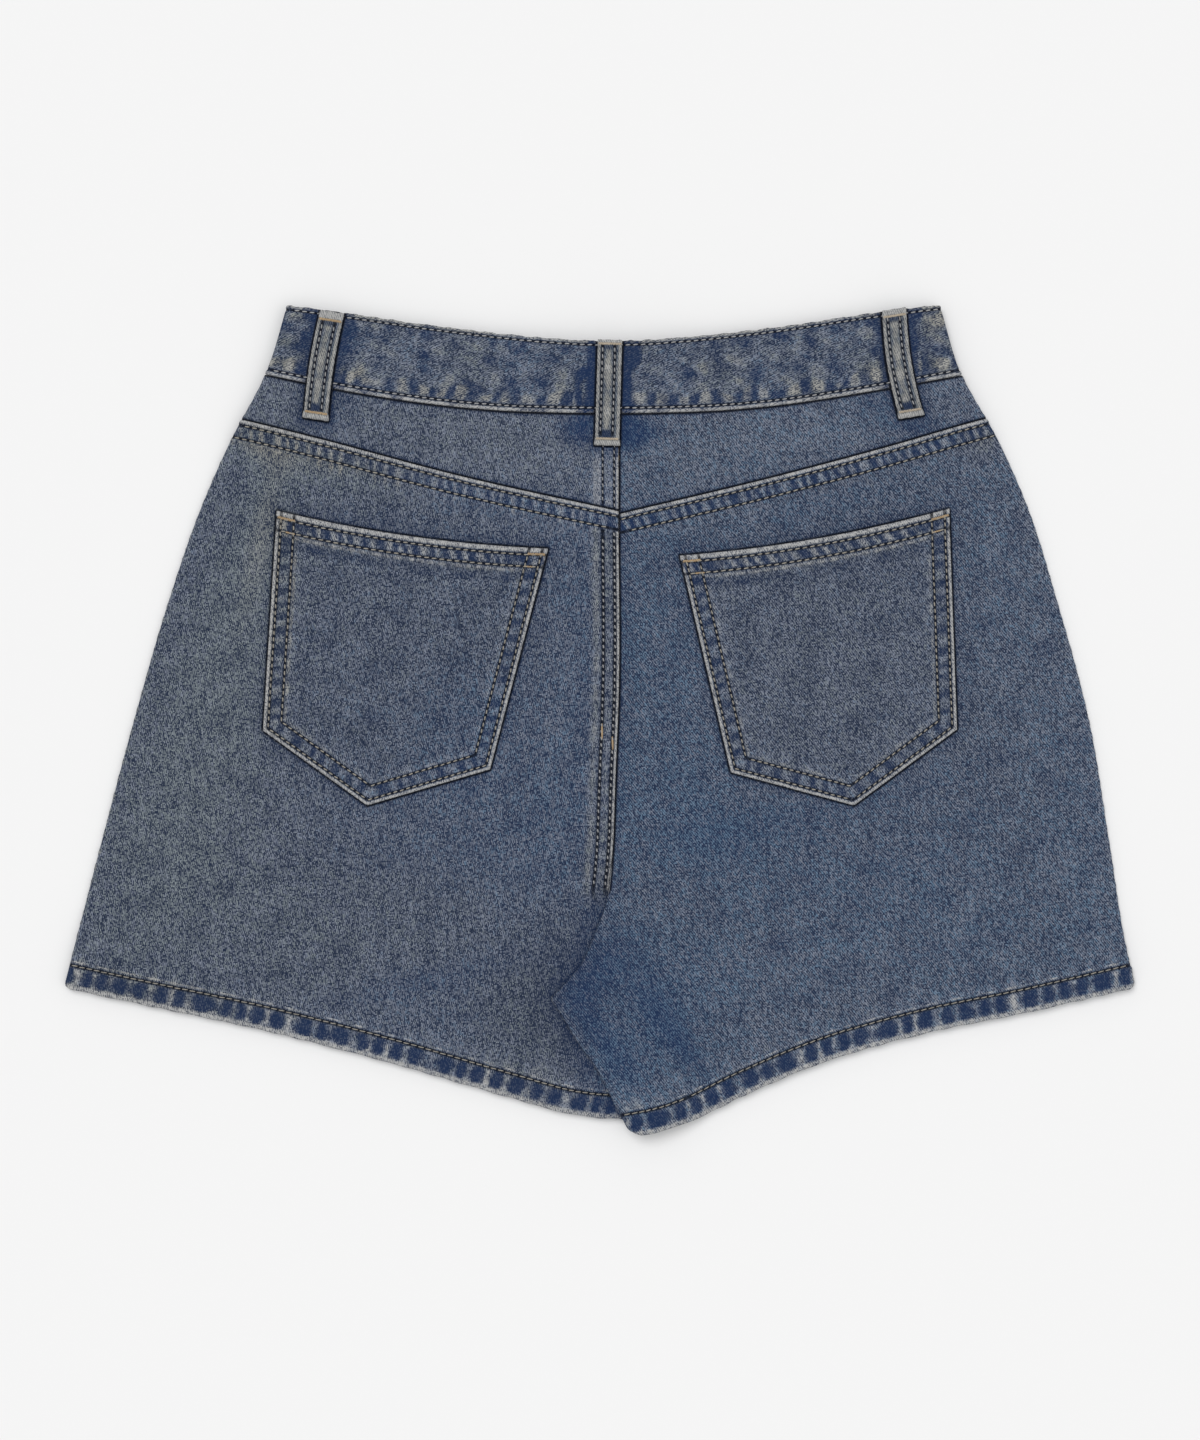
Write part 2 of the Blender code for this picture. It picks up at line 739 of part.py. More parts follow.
def pocket(leg, corners, collection):
    """A five-sided patch with a hemmed mouth, laid on the back panel."""
    points = np.stack([corners["x"], corners["y"]], axis=-1)
    mouth_left, mouth_right, low_right, tip, low_left = points

    def mouth(at):
        sag = np.stack([0 * at, -4 * POCKET_SAG * at * (1 - at)], axis=-1)
        return mix(mouth_left, mouth_right, at[..., None]) + sag

    def foot(at):
        share = at[..., None]
        return np.where(share < 0.5, mix(low_left, tip, share * 2), mix(tip, low_right, share * 2 - 1))

    def left_side(at):
        return mix(mouth_left, low_left, at[..., None])

    def right_side(at):
        return mix(mouth_right, low_right, at[..., None])

    place = patch(left_side, right_side, mouth, foot)
    depth = np.hypot(*(mouth_left - low_left))
    stops = (0, NOSE, POCKET_HEM, POCKET_HEM + HEM_SLOPE, 0.33 * depth, 0.55 * depth, 0.78 * depth)
    down = np.array(stops + (depth - NOSE, depth)) / depth
    across, down = np.meshgrid(POCKET_COLUMNS, down)
    plan = place(across, down)
    under = back_top(plan[..., 0], plan[..., 1]) + SEAM_GAP
    hem = (down * depth <= POCKET_HEM + 0.01) * (FOLDED - WALL)
    rim = (across == 0) | (across == 1) | (down == 0) | (down == 1)
    face = under + WALL + hem - ROUND_OFF * rim
    return cloth_wall("pocket_" + leg, with_height(plan, face), with_height(plan, under), collection)


# ---------------------------------------------------------------- belt loops


LOOP_SHARES = np.array((0, 0.02, 0.1, 0.2, 0.35, 0.5, 0.65, 0.8, 0.9, 0.98, 1.0))


def loop_plan(top, foot):
    """Plan points of a loop, rows down its length and columns across it."""
    down = unit(foot - top)
    across = np.array((-down[1], down[0]))
    half = LOOP_WIDTH / 2
    steps = np.array((-half, -half + NOSE, 0.0, half - NOSE, half))
    return mix(top, foot, LOOP_SHARES[:, None, None]) + across * steps[None, :, None]


def loop_thickness():
    """More at the ends, where the loop is turned under, and less along its rim."""
    turned = (LOOP_SHARES <= 0.1) | (LOOP_SHARES >= 0.9)
    end = (LOOP_SHARES == 0) | (LOOP_SHARES == 1)
    rim = np.array((1, 0, 0, 0, 1)) * ROUND_OFF
    return (LOOP_THICK + LOOP_FOLD * turned - ROUND_OFF * end)[:, None] - rim


def loop_bow():
    return LOOP_BOW * np.sin(np.pi * LOOP_SHARES)[:, None] ** 0.7


def back_loop(name, top, foot, collection):
    plan = loop_plan(top, foot)
    x, y = plan[..., 0], plan[..., 1]
    on_band = 1 - ramp(below_waist(x, y), 0.0, 7.0)
    rest = np.maximum(back_top(x, y) + RIDGE, (band_low_back(x) + FOLDED) * on_band)
    under = rest.max(axis=1, keepdims=True) + SEAM_GAP + loop_bow() + 0 * x
    face = under + loop_thickness()
    outer, inner = with_height(plan, face), with_height(plan, under)
    return cloth_wall("belt_loop_" + name, outer, inner, collection, colour=DENIM_PALE)


def front_loop(name, top, foot, collection):
    plan = loop_plan(top, foot)
    over = BAND_LOW - SEAM_GAP - loop_bow() + 0 * plan[..., 0]
    face = np.maximum(over - loop_thickness(), 0.0)
    outer, inner = with_height(plan, face), with_height(plan, over)
    return cloth_wall("belt_loop_" + name, outer, inner, collection, colour=DENIM_PALE)


def belt_loops(collection):
    for build, names, places in (
        (back_loop, LOOP_NAMES, LOOPS),
        (front_loop, FRONT_LOOP_NAMES, FRONT_LOOPS),
    ):
        tops = np.stack([places["top_x"], places["top_y"]], axis=-1)
        feet = np.stack([places["foot_x"], places["foot_y"]], axis=-1)
        for name, top, foot in zip(names, tops, feet):
            build(name, top, foot, collection)


# ---------------------------------------------------------------- fly


def zip_bed(y):
    """The height of the left front's inside under the zip."""
    return lift(np.full_like(y, FRONT_X - 4.0), y) + WALL


def fly_zip(collection):
    """Tape and chain between the left front's flap and the right front's edge."""
    chain_top = FLY_TOP - SLIDER_LENGTH - 1.0
    y = np.concatenate([[FLY_TOP, chain_top + 0.4], np.linspace(chain_top, ZIP_FOOT, 10)])
    section = table(
        "x height",
        (-ZIP_TAPE, ZIP_TAPE_THICK),
        (-ZIP_CHAIN - 0.3, ZIP_TAPE_THICK),
        (-ZIP_CHAIN, ZIP_CHAIN_THICK),
        (ZIP_CHAIN - 0.3, ZIP_CHAIN_THICK),
        (ZIP_CHAIN, ZIP_TAPE_THICK),
    )
    x, bed = np.meshgrid(FRONT_X + section["x"], zip_bed(y) + SEAM_GAP)
    plan = np.stack([x, np.broadcast_to(y[:, None], x.shape)], axis=-1)
    height = np.where(y[:, None] > chain_top, ZIP_TAPE_THICK, section["height"])
    outer, inner = with_height(plan, bed + height), with_height(plan, bed)
    return cloth_wall("fly_zip", outer, inner, collection, colour=TAPE_NAVY)


def mesh_of(name, build):
    mesh = bpy.data.meshes.new(name)
    work = bmesh.new()
    build(work)
    work.to_mesh(mesh)
    work.free()
    return mesh


def box_mesh(name, low, high):
    """A box between two corners, in millimetres."""
    low, high = np.array(low), np.array(high)

    def build(work):
        made = bmesh.ops.create_cube(work, size=1.0)["verts"]
        bmesh.ops.scale(work, vec=(high - low) * MM, verts=made)
        bmesh.ops.translate(work, vec=(high + low) / 2 * MM, verts=made)

    return mesh_of(name, build)


def zip_slider(collection, helpers):
    """The slider at the top of the closed zip, its tab lying down the chain."""
    seat = float(zip_bed(np.array((FLY_TOP,)))[0]) + SEAM_GAP + ZIP_TAPE_THICK + SEAM_GAP
    x, foot = FRONT_X - 1.0, FLY_TOP - SLIDER_LENGTH
    body = box_mesh("zip_slider", (x - 3.6, foot, seat), (x + 3.6, FLY_TOP, seat + SLIDER_THICK))
    slider = finish(body, "zip_slider", collection, BRASS, 0.35, 1.0)
    tab_low = seat + SLIDER_THICK - TAB_THICK - 0.3
    tab_ends = (foot - TAB_LENGTH, foot + 3.0)
    tab = box_mesh("zip_tab", (x - 2.2, tab_ends[0], tab_low), (x + 2.2, tab_ends[1], tab_low + TAB_THICK))
    helper = bpy.data.objects.new("zip_tab_shape", tab)
    helpers.objects.link(helper)
    helper.hide_render = True
    helper.display_type = "WIRE"
    union = slider.modifiers.new("tab", "BOOLEAN")
    union.operation = "UNION"
    union.object = helper
    soften(slider, 0.2, 1)
    return slider


def soften(piece, width, segments):
    bevel = piece.modifiers.new("edges", "BEVEL")
    bevel.width = width * MM
    bevel.segments = segments


def fly_button(collection):
    """The tack button's head, on which the waistband rests."""
    x = FRONT_X - BUTTON_IN
    y = float(band_point(np.array((x,)), 0.5, 1.0)[0])

    def head(work):
        made = bmesh.ops.create_cone(
            work,
            cap_ends=True,
            segments=28,
            radius1=BUTTON_RADIUS * MM,
            radius2=(BUTTON_RADIUS - 1.0) * MM,
            depth=BUTTON_THICK * MM,
        )["verts"]
        bmesh.ops.translate(work, vec=(x * MM, y * MM, BUTTON_THICK / 2 * MM), verts=made)

    button = finish(mesh_of("fly_button", head), "fly_button", collection, BRASS, 0.35, 1.0)
    soften(button, 0.3, 2)
    return button


# ---------------------------------------------------------------- build


def new_collection(name):
    collection = bpy.data.collections.new(name)
    bpy.context.scene.collection.children.link(collection)
    return collection


def main():
    for leftover in list(bpy.data.objects):
        bpy.data.objects.remove(leftover)
    shorts = new_collection("denim_shorts")
    helpers = new_collection("helpers")
    front_panels(shorts)
    back_panels(shorts)
    yoke("left", YOKE_SEAM_LEFT, shorts)
    yoke("right", YOKE_SEAM_RIGHT, shorts)
    waistband(shorts)
    pocket("left", POCKET_LEFT, shorts)
    pocket("right", POCKET_RIGHT, shorts)
    belt_loops(shorts)
    fly_zip(shorts)
    zip_slider(shorts, helpers)
    fly_button(shorts)


main()
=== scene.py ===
import math

import bpy
import numpy as np
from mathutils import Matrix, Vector
from mathutils.bvhtree import BVHTree


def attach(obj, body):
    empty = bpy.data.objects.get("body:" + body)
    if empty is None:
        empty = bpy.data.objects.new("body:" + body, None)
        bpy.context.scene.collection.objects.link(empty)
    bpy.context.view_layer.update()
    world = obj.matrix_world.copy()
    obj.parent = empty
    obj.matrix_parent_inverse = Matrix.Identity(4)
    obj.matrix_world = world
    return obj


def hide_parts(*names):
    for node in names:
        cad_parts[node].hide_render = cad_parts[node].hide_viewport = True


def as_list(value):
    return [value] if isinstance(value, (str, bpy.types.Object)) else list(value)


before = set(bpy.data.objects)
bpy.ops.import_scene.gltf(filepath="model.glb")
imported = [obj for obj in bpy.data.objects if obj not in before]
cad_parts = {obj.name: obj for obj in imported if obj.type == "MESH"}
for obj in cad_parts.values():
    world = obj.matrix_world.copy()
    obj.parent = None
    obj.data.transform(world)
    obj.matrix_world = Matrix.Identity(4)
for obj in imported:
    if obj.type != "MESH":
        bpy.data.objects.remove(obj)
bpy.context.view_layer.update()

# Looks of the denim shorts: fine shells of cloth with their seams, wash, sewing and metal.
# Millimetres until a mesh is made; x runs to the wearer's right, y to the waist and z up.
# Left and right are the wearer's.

MM = 0.001
BODY = "root"
LEGS = ("left", "right")

# Cloth, as in the solids: its layers, and the air between front and back
WALL = 1.2  # one layer
FOLDED = 2.4  # two
SEAM_GAP = 0.3  # between two sewn pieces
RIDGE = 0.8  # a felled seam is this much thicker
FELL = 12.0  # and this wide
FELL_EDGE = 1.5
HEM = 13.0
HEM_SLOPE = 1.5
BAND_LOW = 2.3  # the waistband's front over the table
TUCK = 0.6  # the fronts' waist over the waistband's underside
LIFT_RUN = 65.0
GAP_SIDE = 0.4
GAP_MIDDLE = 2.6
GAP_RUN = 38.0
GAP_WAIST = 1.7
WAIST_RUN = 50.0
HEM_RUN = 50.0
BAND_GAP = 0.5
AWAY_FROM_HEM = 200.0
OVER = 0.8  # the air under the right leg where it crosses the left one
CROSS_START = (64.0, 86.0)
CROSS_MARGIN = (12.0, 38.0)

# Fly, as in the solids: how far its layers raise the cloth and over what reach
LAP_RISE = 2.7
ZIP_RISE = 1.7
LAP_HOLD = 30.0
LAP_FADE = 60.0
ZIP_HOLD = 14.0
ZIP_FADE = 34.0
FLAP_STEP = 1.7
FLAP_ENDS = (25.0, 40.0)
STEP_ENDS = (-25.0, 3.0)
RISE_ENDS = (-20.0, 20.0)
FRONT_X = 8.0  # the middle of the front
ZIP_FOOT = 31.0
FLY_TOP = 146.0
FLY_FLAP = 12.0
ZIP_SIDE = 3.0
FLY_EASE = 40.0
ZIP_TAPE = 11.0
ZIP_TAPE_THICK = 0.8
UNDERLAP = 28.0
OVERLAP = 8.0
FRONT_DIP = 10.0
HALF_WAIST = 175.0
BUTTON_IN = 4.0
BUTTON_RADIUS = 8.5
BUTTON_THICK = 2.0

# Belt loops, as in the solids
LOOP_WIDTH = 13.0
LOOP_THICK = 1.3
LOOP_FOLD = 0.7  # more where it is turned under
LOOP_BOW = 0.7  # its middle stands off the waistband this much

# Sewing: rows of stitches by their distance from an edge, and from one stitch to the next
YOKE_ROWS = (2.9, 9.8)
SEAT_ROWS = (2.4, 8.5)
POCKET_ROWS = (2.6, 9.5)
MOUTH_ROWS = (3.7, 10.1)
HEM_ROW = 12.6
BAND_TOP_ROW = 2.3
BAND_FOOT_ROW = 2.8
LOOP_ROW = 3.25
LOOP_ASIDE = 0.5  # a loop's rows lie this far to one side
STITCH = 4.0
SHORT_STITCH = 3.5
THREAD = 0.36  # half the width of a thread
GROOVE = 0.3  # a row of stitches pulls the cloth in this much
PIPING = 0.28  # how far a folded edge swells outside its stitches
WEAVE = 1.09  # from one line of the twill to the next
FLOAT = 1.9  # the length of a thread on top of the weave
PUCKER = 0.22  # how high cloth puckers between two rows of stitches
STREAK = 5.0  # how far the puckers run out beyond the last row
HEM_PUCKER = 10.8  # from one pucker of a hem to the next
MOTTLE_WAVES = 9  # how many waves make up the unevenness of a surface
BARE = 20.0  # what is written down where no other piece lies over the cloth


def table(columns, *rows):
    """The rows' numbers, one named column each."""
    return dict(zip(columns.split(), np.array(rows, float).T))


# The garment's outline and seams in plan, nearly as in the solids
SIDES = table(
    "y left right",
    (-142.0, -284.6, 284.6),
    (-127.5, -280.9, 280.9),
    (-63.9, -264.5, 270.3),
    (-0.3, -247.5, 259.7),
    (63.3, -229.0, 242.7),
    (116.3, -210.4, 225.8),
    (148.1, -196.1, 211.5),
    (183.0, -177.6, 191.9),
    (220.2, -165.9, 180.2),
)
WAIST = table(
    "x top seam",
    (-178.0, 221.4, 183.2),
    (-141.0, 216.5, 175.4),
    (-77.4, 207.6, 165.9),
    (5.3, 200.6, 162.2),
    (88.0, 207.4, 165.9),
    (151.6, 216.6, 175.4),
    (192.2, 221.4, 182.7),
)
YOKE_SEAM = {
    "left": table(
        "x y", (9.9, 110.6), (-77.4, 130.1), (-150.0, 149.3), (-180.0, 156.8), (-190.6, 159.3)
    ),
    "right": table(
        "x y", (9.9, 109.0), (97.5, 130.1), (160.0, 146.9), (192.0, 156.3), (205.0, 159.9)
    ),
}
SEAT_SEAM = table("x y", (9.9, 10.3), (8.3, -29.9), (6.3, -76.1), (4.8, -90.9))
FORK = {
    "left": table("x y", (4.8, -90.9), (9.5, -111.6), (18.0, -132.8), (22.3, -144.4)),
    "right": table(
        "x y",
        (4.8, -90.9), (2.1, -101.0), (-2.6, -112.6), (-9.6, -128.8),
        (-17.0, -138.0), (-26.3, -148.0),
    ),
}
INSEAM = {
    "left": table("x y", (22.3, -144.4), (22.8, -175.2), (21.2, -211.7)),
    "right": table(
        "x y",
        (-26.3, -148.0), (-23.9, -151.3), (-13.8, -167.8), (-0.7, -186.8),
        (8.5, -205.4), (17.5, -220.7),
    ),
}
HEM_EDGE = {
    "left": table(
        "x y",
        (21.2, -211.7), (0.0, -211.2), (-15.9, -209.0), (-47.7, -200.4),
        (-111.3, -182.0), (-174.9, -165.6), (-251.8, -149.2), (-284.6, -142.0),
    ),
    "right": table(
        "x y",
        (17.5, -220.7), (28.0, -218.8), (47.7, -212.8), (79.5, -197.9),
        (111.3, -184.4), (174.9, -165.8), (222.6, -156.1), (284.6, -142.0),
    ),
}
POCKET = {
    "left": table(
        "x y", (-171.2, 111.0), (-27.6, 90.9), (-58.3, -26.2), (-123.5, -45.3), (-178.6, -5.6)
    ),
    "right": table(
        "x y", (42.4, 87.2), (185.0, 112.1), (189.2, -5.0), (134.6, -45.3), (69.4, -27.8)
    ),
}
POCKET_SAG = 3.7
POCKET_HEM = 12.5
LOOPS = table(
    "top_x top_y foot_x foot_y cap bend",
    (5.3, 200.9, 3.7, 145.2, 2.1, 0.0),
    (-141.7, 216.0, -150.6, 159.2, 4.6, -1.2),
    (155.6, 217.4, 164.9, 160.4, 3.5, -1.9),
)
LOOP_NAMES = ("centre_back", "back_left", "back_right")
FRONT_LOOPS = table(
    "top_x top_y foot_x foot_y cap bend",
    (-108.0, 203.5, -112.0, 149.0, 3.0, 0.0),
    (124.0, 203.5, 128.0, 149.0, 3.0, 0.0),
)
FRONT_LOOP_NAMES = ("front_left", "front_right")

CENTRE = SEAT_SEAM["x"][0]
SIDE_SEAM_Y = 183.0
SIDE_TOP_Y = 220.2
FORK_START = 0.64
FORK_TIP = 0.80
SIDE_AT_FORK = -60.0
SIDE_AT_TIP = -98.0
SEAT_END_Y = SEAT_SEAM["y"][-1]

# Soft creases of the legs: the middle of each, half its length and width, its turn and height,
# and how far from the edges, the hems and the waist they begin
CREASES = table(
    "x y long wide turn height",
    (48, -118, 52, 13, 24, -0.55),
    (60, -145, 60, 15, 38, 0.5),
    (22, -62, 40, 12, 80, 0.35),
    (-60, -150, 55, 15, -38, 0.45),
    (-36, -128, 40, 12, -55, -0.5),
    (-120, -95, 70, 17, -12, 0.4),
    (-205, -60, 60, 16, 72, -0.4),
    (-190, 40, 65, 11, 80, 0.35),
    (150, -95, 75, 18, 14, -0.45),
    (215, -40, 62, 15, -74, 0.4),
    (206, 62, 60, 11, -78, -0.3),
    (235, -115, 45, 14, -60, 0.4),
)
CREASE_EDGE = (2.0, 26.0)
CREASE_HEM = (-195.0, -160.0)
CREASE_WAIST = (30.0, 60.0)

# Worn, unworn and bluer places, a few of them painted shade: the middle, half widths, turn, wear,
# depth of blue and shade, and hue
SPOTS = table(
    "x y wide high turn worn deep blue",
    (-225, -40, 45, 120, -14, 0.1, 0, -0.9),
    (-190, 60, 22, 90, -12, 0.16, 0, -0.8),
    (-150, -110, 90, 50, -10, 0.05, 0, -0.5),
    (-5, 40, 24, 90, 0, 0, 0.08, 0.4),
    (38, 20, 24, 90, 8, 0, 0.06, 0.45),
    (-30, -60, 40, 50, 0, 0, 0.06, 0.3),
    (60, -60, 60, 30, -20, 0, 0.07, 0.4),
    (108, -50, 92, 11, 13.5, 0, 0.16, 0.3),
    (-80, -20, 60, 90, 0, 0, 0.02, 0.35),
    (-6, -138, 24, 13, 50, 0, 0.3, 0.9),
    (0, -168, 34, 9, -55, 0, 0.28, 0.7),
    (26, -140, 46, 34, -40, 0, 0.12, 0.5),
    (18, -180, 26, 34, -30, 0, 0.12, 0.5),
    (40, -170, 44, 6, -52, 0, 0.3, 0.4),
    (34, -150, 46, 6, -58, 0, 0.22, 0.1),
    (150, -80, 80, 26, 12, 0, 0.04, 0.3),
    (100, -130, 80, 26, 20, 0.07, 0, 0.2),
    (200, -120, 60, 30, 14, 0.05, 0, 0.3),
    (255, -60, 22, 90, 8, 0.08, 0, 0.2),
    (210, 80, 20, 60, 12, 0.1, 0, 0.2),
    # these two darken the left leg beside the fork: painted shade from the right leg lying over it
    (-30, -160, 30, 34, -30, 0, 0.22, -0.7),
    (-14, -128, 24, 26, -40, 0, 0.28, -0.5),
    (-88, -137, 64, 9, 13.5, 0, 0.14, 0.3),
    (-90, -150, 60, 26, -10, 0, 0.05, 0.3),
    (-150, 136, 46, 9, -14, 0.22, 0, -0.8),
    (-177, 106, 9, 44, -11, 0.22, 0, -0.7),
    (-10, 154, 11, 9, -10, 0, 0.42, 0.1),
    (19, 158, 13, 9, 10, 0, 0.3, 0.1),
    (-120, -70, 55, 20, 0, 0, 0.1, 0.1),
    (-60, 115, 60, 8, -12, 0, 0.16, 0.4),
    (-140, 128, 40, 8, -12, 0.08, 0, -0.4),
    (110, 112, 60, 8, 14, 0, 0.12, 0.3),
    (12, 155, 10, 11, -15, 0, 1, 0.7),
    (22, 150, 13, 6, 20, 0, 0.5, 0.5),
    (-6, 156, 12, 8, 15, 0, 1, 0.7),
    (-153, 159, 14, 7, 10, 0, 0.6, 0.3),
    (166, 157, 15, 7, -10, 0, 0.6, 0.3),
    (204, 147, 12, 8, 15, 0.32, 0, -0.6),
    (-181, 147, 14, 8, -14, 0.28, 0, -0.8),
    (-136, 172, 9, 8, 0, 0, 0.45, 0.2),
    (146, 170, 12, 9, 0, 0, 0.4, 0.2),
    (-80, 150, 60, 12, -10, 0.06, 0, -0.2),
    (100, 148, 50, 14, 12, 0.04, 0, 0.1),
    (-92, 40, 40, 46, 0, 0.03, 0, -0.2),
    (-70, 0, 30, 30, 0, 0, 0.08, 0.3),
    (120, 30, 40, 50, 0, 0.05, 0, -0.2),
)

# The same for the back of the waistband
BAND_SPOTS = table(
    "x y wide high turn worn deep blue",
    (-159, 213.9, 6.5, 4, 0, 0.4, 0, -0.9),
    (-167.3, 207.4, 5.5, 3.5, 0, 0, 0.5, 0.1),
    (-167, 200.2, 7, 3.5, 0, 0.35, 0, -0.9),
    (-158.6, 197.6, 6, 3.5, -10, 0, 0.5, 0.2),
    (-168.4, 189.3, 9, 4.5, 0, 0.4, 0, -0.9),
    (-159, 187.9, 3.2, 5, 0, 0, 0.6, 0.2),
    (-134.4, 195.8, 6, 7, 0, 0, 0.5, 0.2),
    (-127.9, 184.2, 7, 5, 0, 0.4, 0, -0.9),
    (175, 208, 8, 10, -20, 0.4, 0, -0.8),
    (166, 210, 4, 9, 0, 0, 0.6, 0.2),
    (179, 196, 9, 2.8, -15, 0, 0.35, 0.2),
    (176, 189, 9, 5, 0, 0.4, 0, -0.9),
    (143, 187, 7, 6, 0, 0.35, 0, -0.8),
)


# ---- curves


def ramp(value, start, end):
    """0 before the start, 1 past the end and smooth between them."""
    share = np.clip((value - start) / (end - start), 0.0, 1.0)
    return share * share * (3.0 - 2.0 * share)


def mix(first, second, share):
    return first + (second - first) * share


def in_plan(x, y):
    """Plan points from their x and y."""
    return np.stack([x, y], axis=-1)


def through(knots, values, at):
    """A smooth curve through the values at the knots, held flat past the ends."""
    slopes = np.gradient(values, knots)
    at = np.clip(at, knots[0], knots[-1])
    left = np.clip(np.searchsorted(knots, at, side="right") - 1, 0, len(knots) - 2)
    width = knots[left + 1] - knots[left]
    t = (at - knots[left]) / width
    return (
        (1 + 2 * t) * (1 - t) ** 2 * values[left]
        + t * (1 - t) ** 2 * width * slopes[left]
        + t * t * (3 - 2 * t) * values[left + 1]
        + t * t * (t - 1) * width * slopes[left + 1]
    )


def side_x(side, y):
    return through(SIDES["y"], SIDES[side], y)


def waist_y(edge, x):
    return through(WAIST["x"], WAIST[edge], x)


def front_dip(x):
    """How far the front waist lies below the back waist: nothing at the sides."""
    across = (x - FRONT_X) / HALF_WAIST
    return FRONT_DIP * np.clip(1 - across**2, 0, 1) ** 1.5


def along(*curves):
    """Tables of x and y end to end as one curve, by its share of their length."""
    x = np.concatenate([curve["x"] for curve in curves])
    y = np.concatenate([curve["y"] for curve in curves])
    step = np.hypot(np.diff(x), np.diff(y))
    keep = np.concatenate([[True], step > 1e-6])
    x, y = x[keep], y[keep]
    share = np.concatenate([[0], np.cumsum(np.hypot(np.diff(x), np.diff(y)))])
    share /= share[-1]

    def curve(at):
        return in_plan(through(share, x, at), through(share, y, at))

    return curve


def end_to_end(first, second, third):
    """Three curves, the joints at FORK_START and FORK_TIP."""

    def curve(at):
        at = np.asarray(at, float)[..., None]
        one = first(at[..., 0] / FORK_START)
        two = second((at[..., 0] - FORK_START) / (FORK_TIP - FORK_START))
        three = third((at[..., 0] - FORK_TIP) / (1 - FORK_TIP))
        return np.where(at < FORK_START, one, np.where(at < FORK_TIP, two, three))

    return curve


def x_of(curve, y):
    """The x of a curve at a height y."""
    order = np.argsort(curve["y"])
    return np.interp(y, curve["y"][order], curve["x"][order])


def y_of(curve, x):
    order = np.argsort(curve["x"])
    return np.interp(x, curve["x"][order], curve["y"][order])


INNER = {
    leg: {name: np.concatenate([FORK[leg][name], INSEAM[leg][name]]) for name in "xy"}
    for leg in LEGS
}


def unit(vectors):
    return vectors / np.linalg.norm(vectors, axis=-1, keepdims=True)


class Line:
    """A curve in plan as short straight steps."""

    def __init__(self, points):
        self.points = np.asarray(points, float)
        steps = np.diff(self.points, axis=0)
        self.lengths = np.hypot(steps[:, 0], steps[:, 1])
        self.ways = steps / self.lengths[:, None]
        self.runs = np.concatenate([[0.0], np.cumsum(self.lengths)])

    def near(self, x, y):
        """How far off the line each point is, and how far along it."""
        points = in_plan(np.ravel(x), np.ravel(y))
        away = points[:, None] - self.points[:-1]
        run = np.clip((away * self.ways).sum(-1), 0, self.lengths)
        square = ((away - run[..., None] * self.ways) ** 2).sum(-1)
        best = square.argmin(-1)
        rows = np.arange(len(points))
        off = np.sqrt(square[rows, best])
        return off.reshape(np.shape(x)), (self.runs[best] + run[rows, best]).reshape(np.shape(x))

    def at(self, run):
        return in_plan(*(np.interp(run, self.runs, values) for values in self.points.T))

    def beside(self, run, distance):
        """Points at those runs, that far to the line's left."""
        step = np.clip(np.searchsorted(self.runs, run, side="right") - 1, 0, len(self.ways) - 1)
        way = self.ways[step]
        return self.at(run) + in_plan(-way[:, 1], way[:, 0]) * distance


def line_of(curve, count=90):
    return Line(curve(np.linspace(0, 1, count)))


class Seam:
    """An edge with rows of stitches beside it; side is 1 where the cloth lies to its left."""

    def __init__(self, line, side, rows, pitch=STITCH, start=0.5, end=0.5, shadow=1.1):
        self.line, self.side, self.rows, self.pitch = line, side, rows, pitch
        self.start, self.end, self.shadow = start, end, shadow

    def stitches(self, row, share):
        """Both ends of each stitch in a row, none where the row has turned a corner."""
        total = self.line.runs[-1]
        middle = (np.arange(int(total / self.pitch)) + 0.5) * self.pitch
        turn = abs(row) * 0.3
        middle = middle[(middle > self.start + turn) & (middle < total - self.end - turn)]
        half = share * self.pitch / 2
        ends = [self.line.beside(middle + way * half, self.side * row) for way in (-1, 1)]
        clear = np.ones(len(middle), bool)
        for end in ends:
            clear &= self.line.near(end[:, 0], end[:, 1])[0] > abs(row) - 0.3
        return ends[0][clear], ends[1][clear]


# ---- heights, as in the solids


def below_waist(x, y, front=False):
    return waist_y("seam", x) - front_dip(x) * front - y


def lift(x, y):
    """The front cloth's underside over the table: raised near the waistband."""
    return (BAND_LOW + TUCK) * (1 - ramp(below_waist(x, y, True), 0, LIFT_RUN))


def near_waist(x, y):
    return 1 - ramp(below_waist(x, y), 0, WAIST_RUN)


def near_hem(distance):
    return 1 - ramp(distance, HEM + HEM_SLOPE, HEM_RUN)


def over_fly(x, y):
    """1 over the fly and 0 away from it, wider towards the waist."""
    near = near_waist(x, y)
    hold = mix(ZIP_HOLD, LAP_HOLD, near)
    fade = mix(ZIP_FADE, LAP_FADE, near)
    return 1 - ramp(np.abs(x - FRONT_X), hold, fade)


def centre_rise(x, y):
    """How far the zip and the lapped waistband raise the back."""
    height = mix(ZIP_RISE, LAP_RISE, near_waist(x, y))
    return height * over_fly(x, y) * ramp(y, *RISE_ENDS)


def fly_lift(x, y):
    """How far the right front lies over the left front's flap and the zip."""
    height = mix(FLAP_STEP, LAP_RISE, near_waist(x, y))
    return height * over_fly(x, y) * ramp(y, *STEP_ENDS)


def pressed(x, y):
    """1 where the right leg lies on the left one, and a little past that."""
    hold, fade = CROSS_MARGIN
    edge = x_of(INNER["right"], y)
    return ramp(x, edge - fade, edge - hold) * ramp(-y, *CROSS_START)


def crossing(x, y):
    """1 where the right leg has the left one under it, and a little past that."""
    hold, fade = CROSS_MARGIN
    edge = x_of(INNER["left"], y)
    return (1 - ramp(x, edge + hold, edge + fade)) * ramp(-y, *CROSS_START)


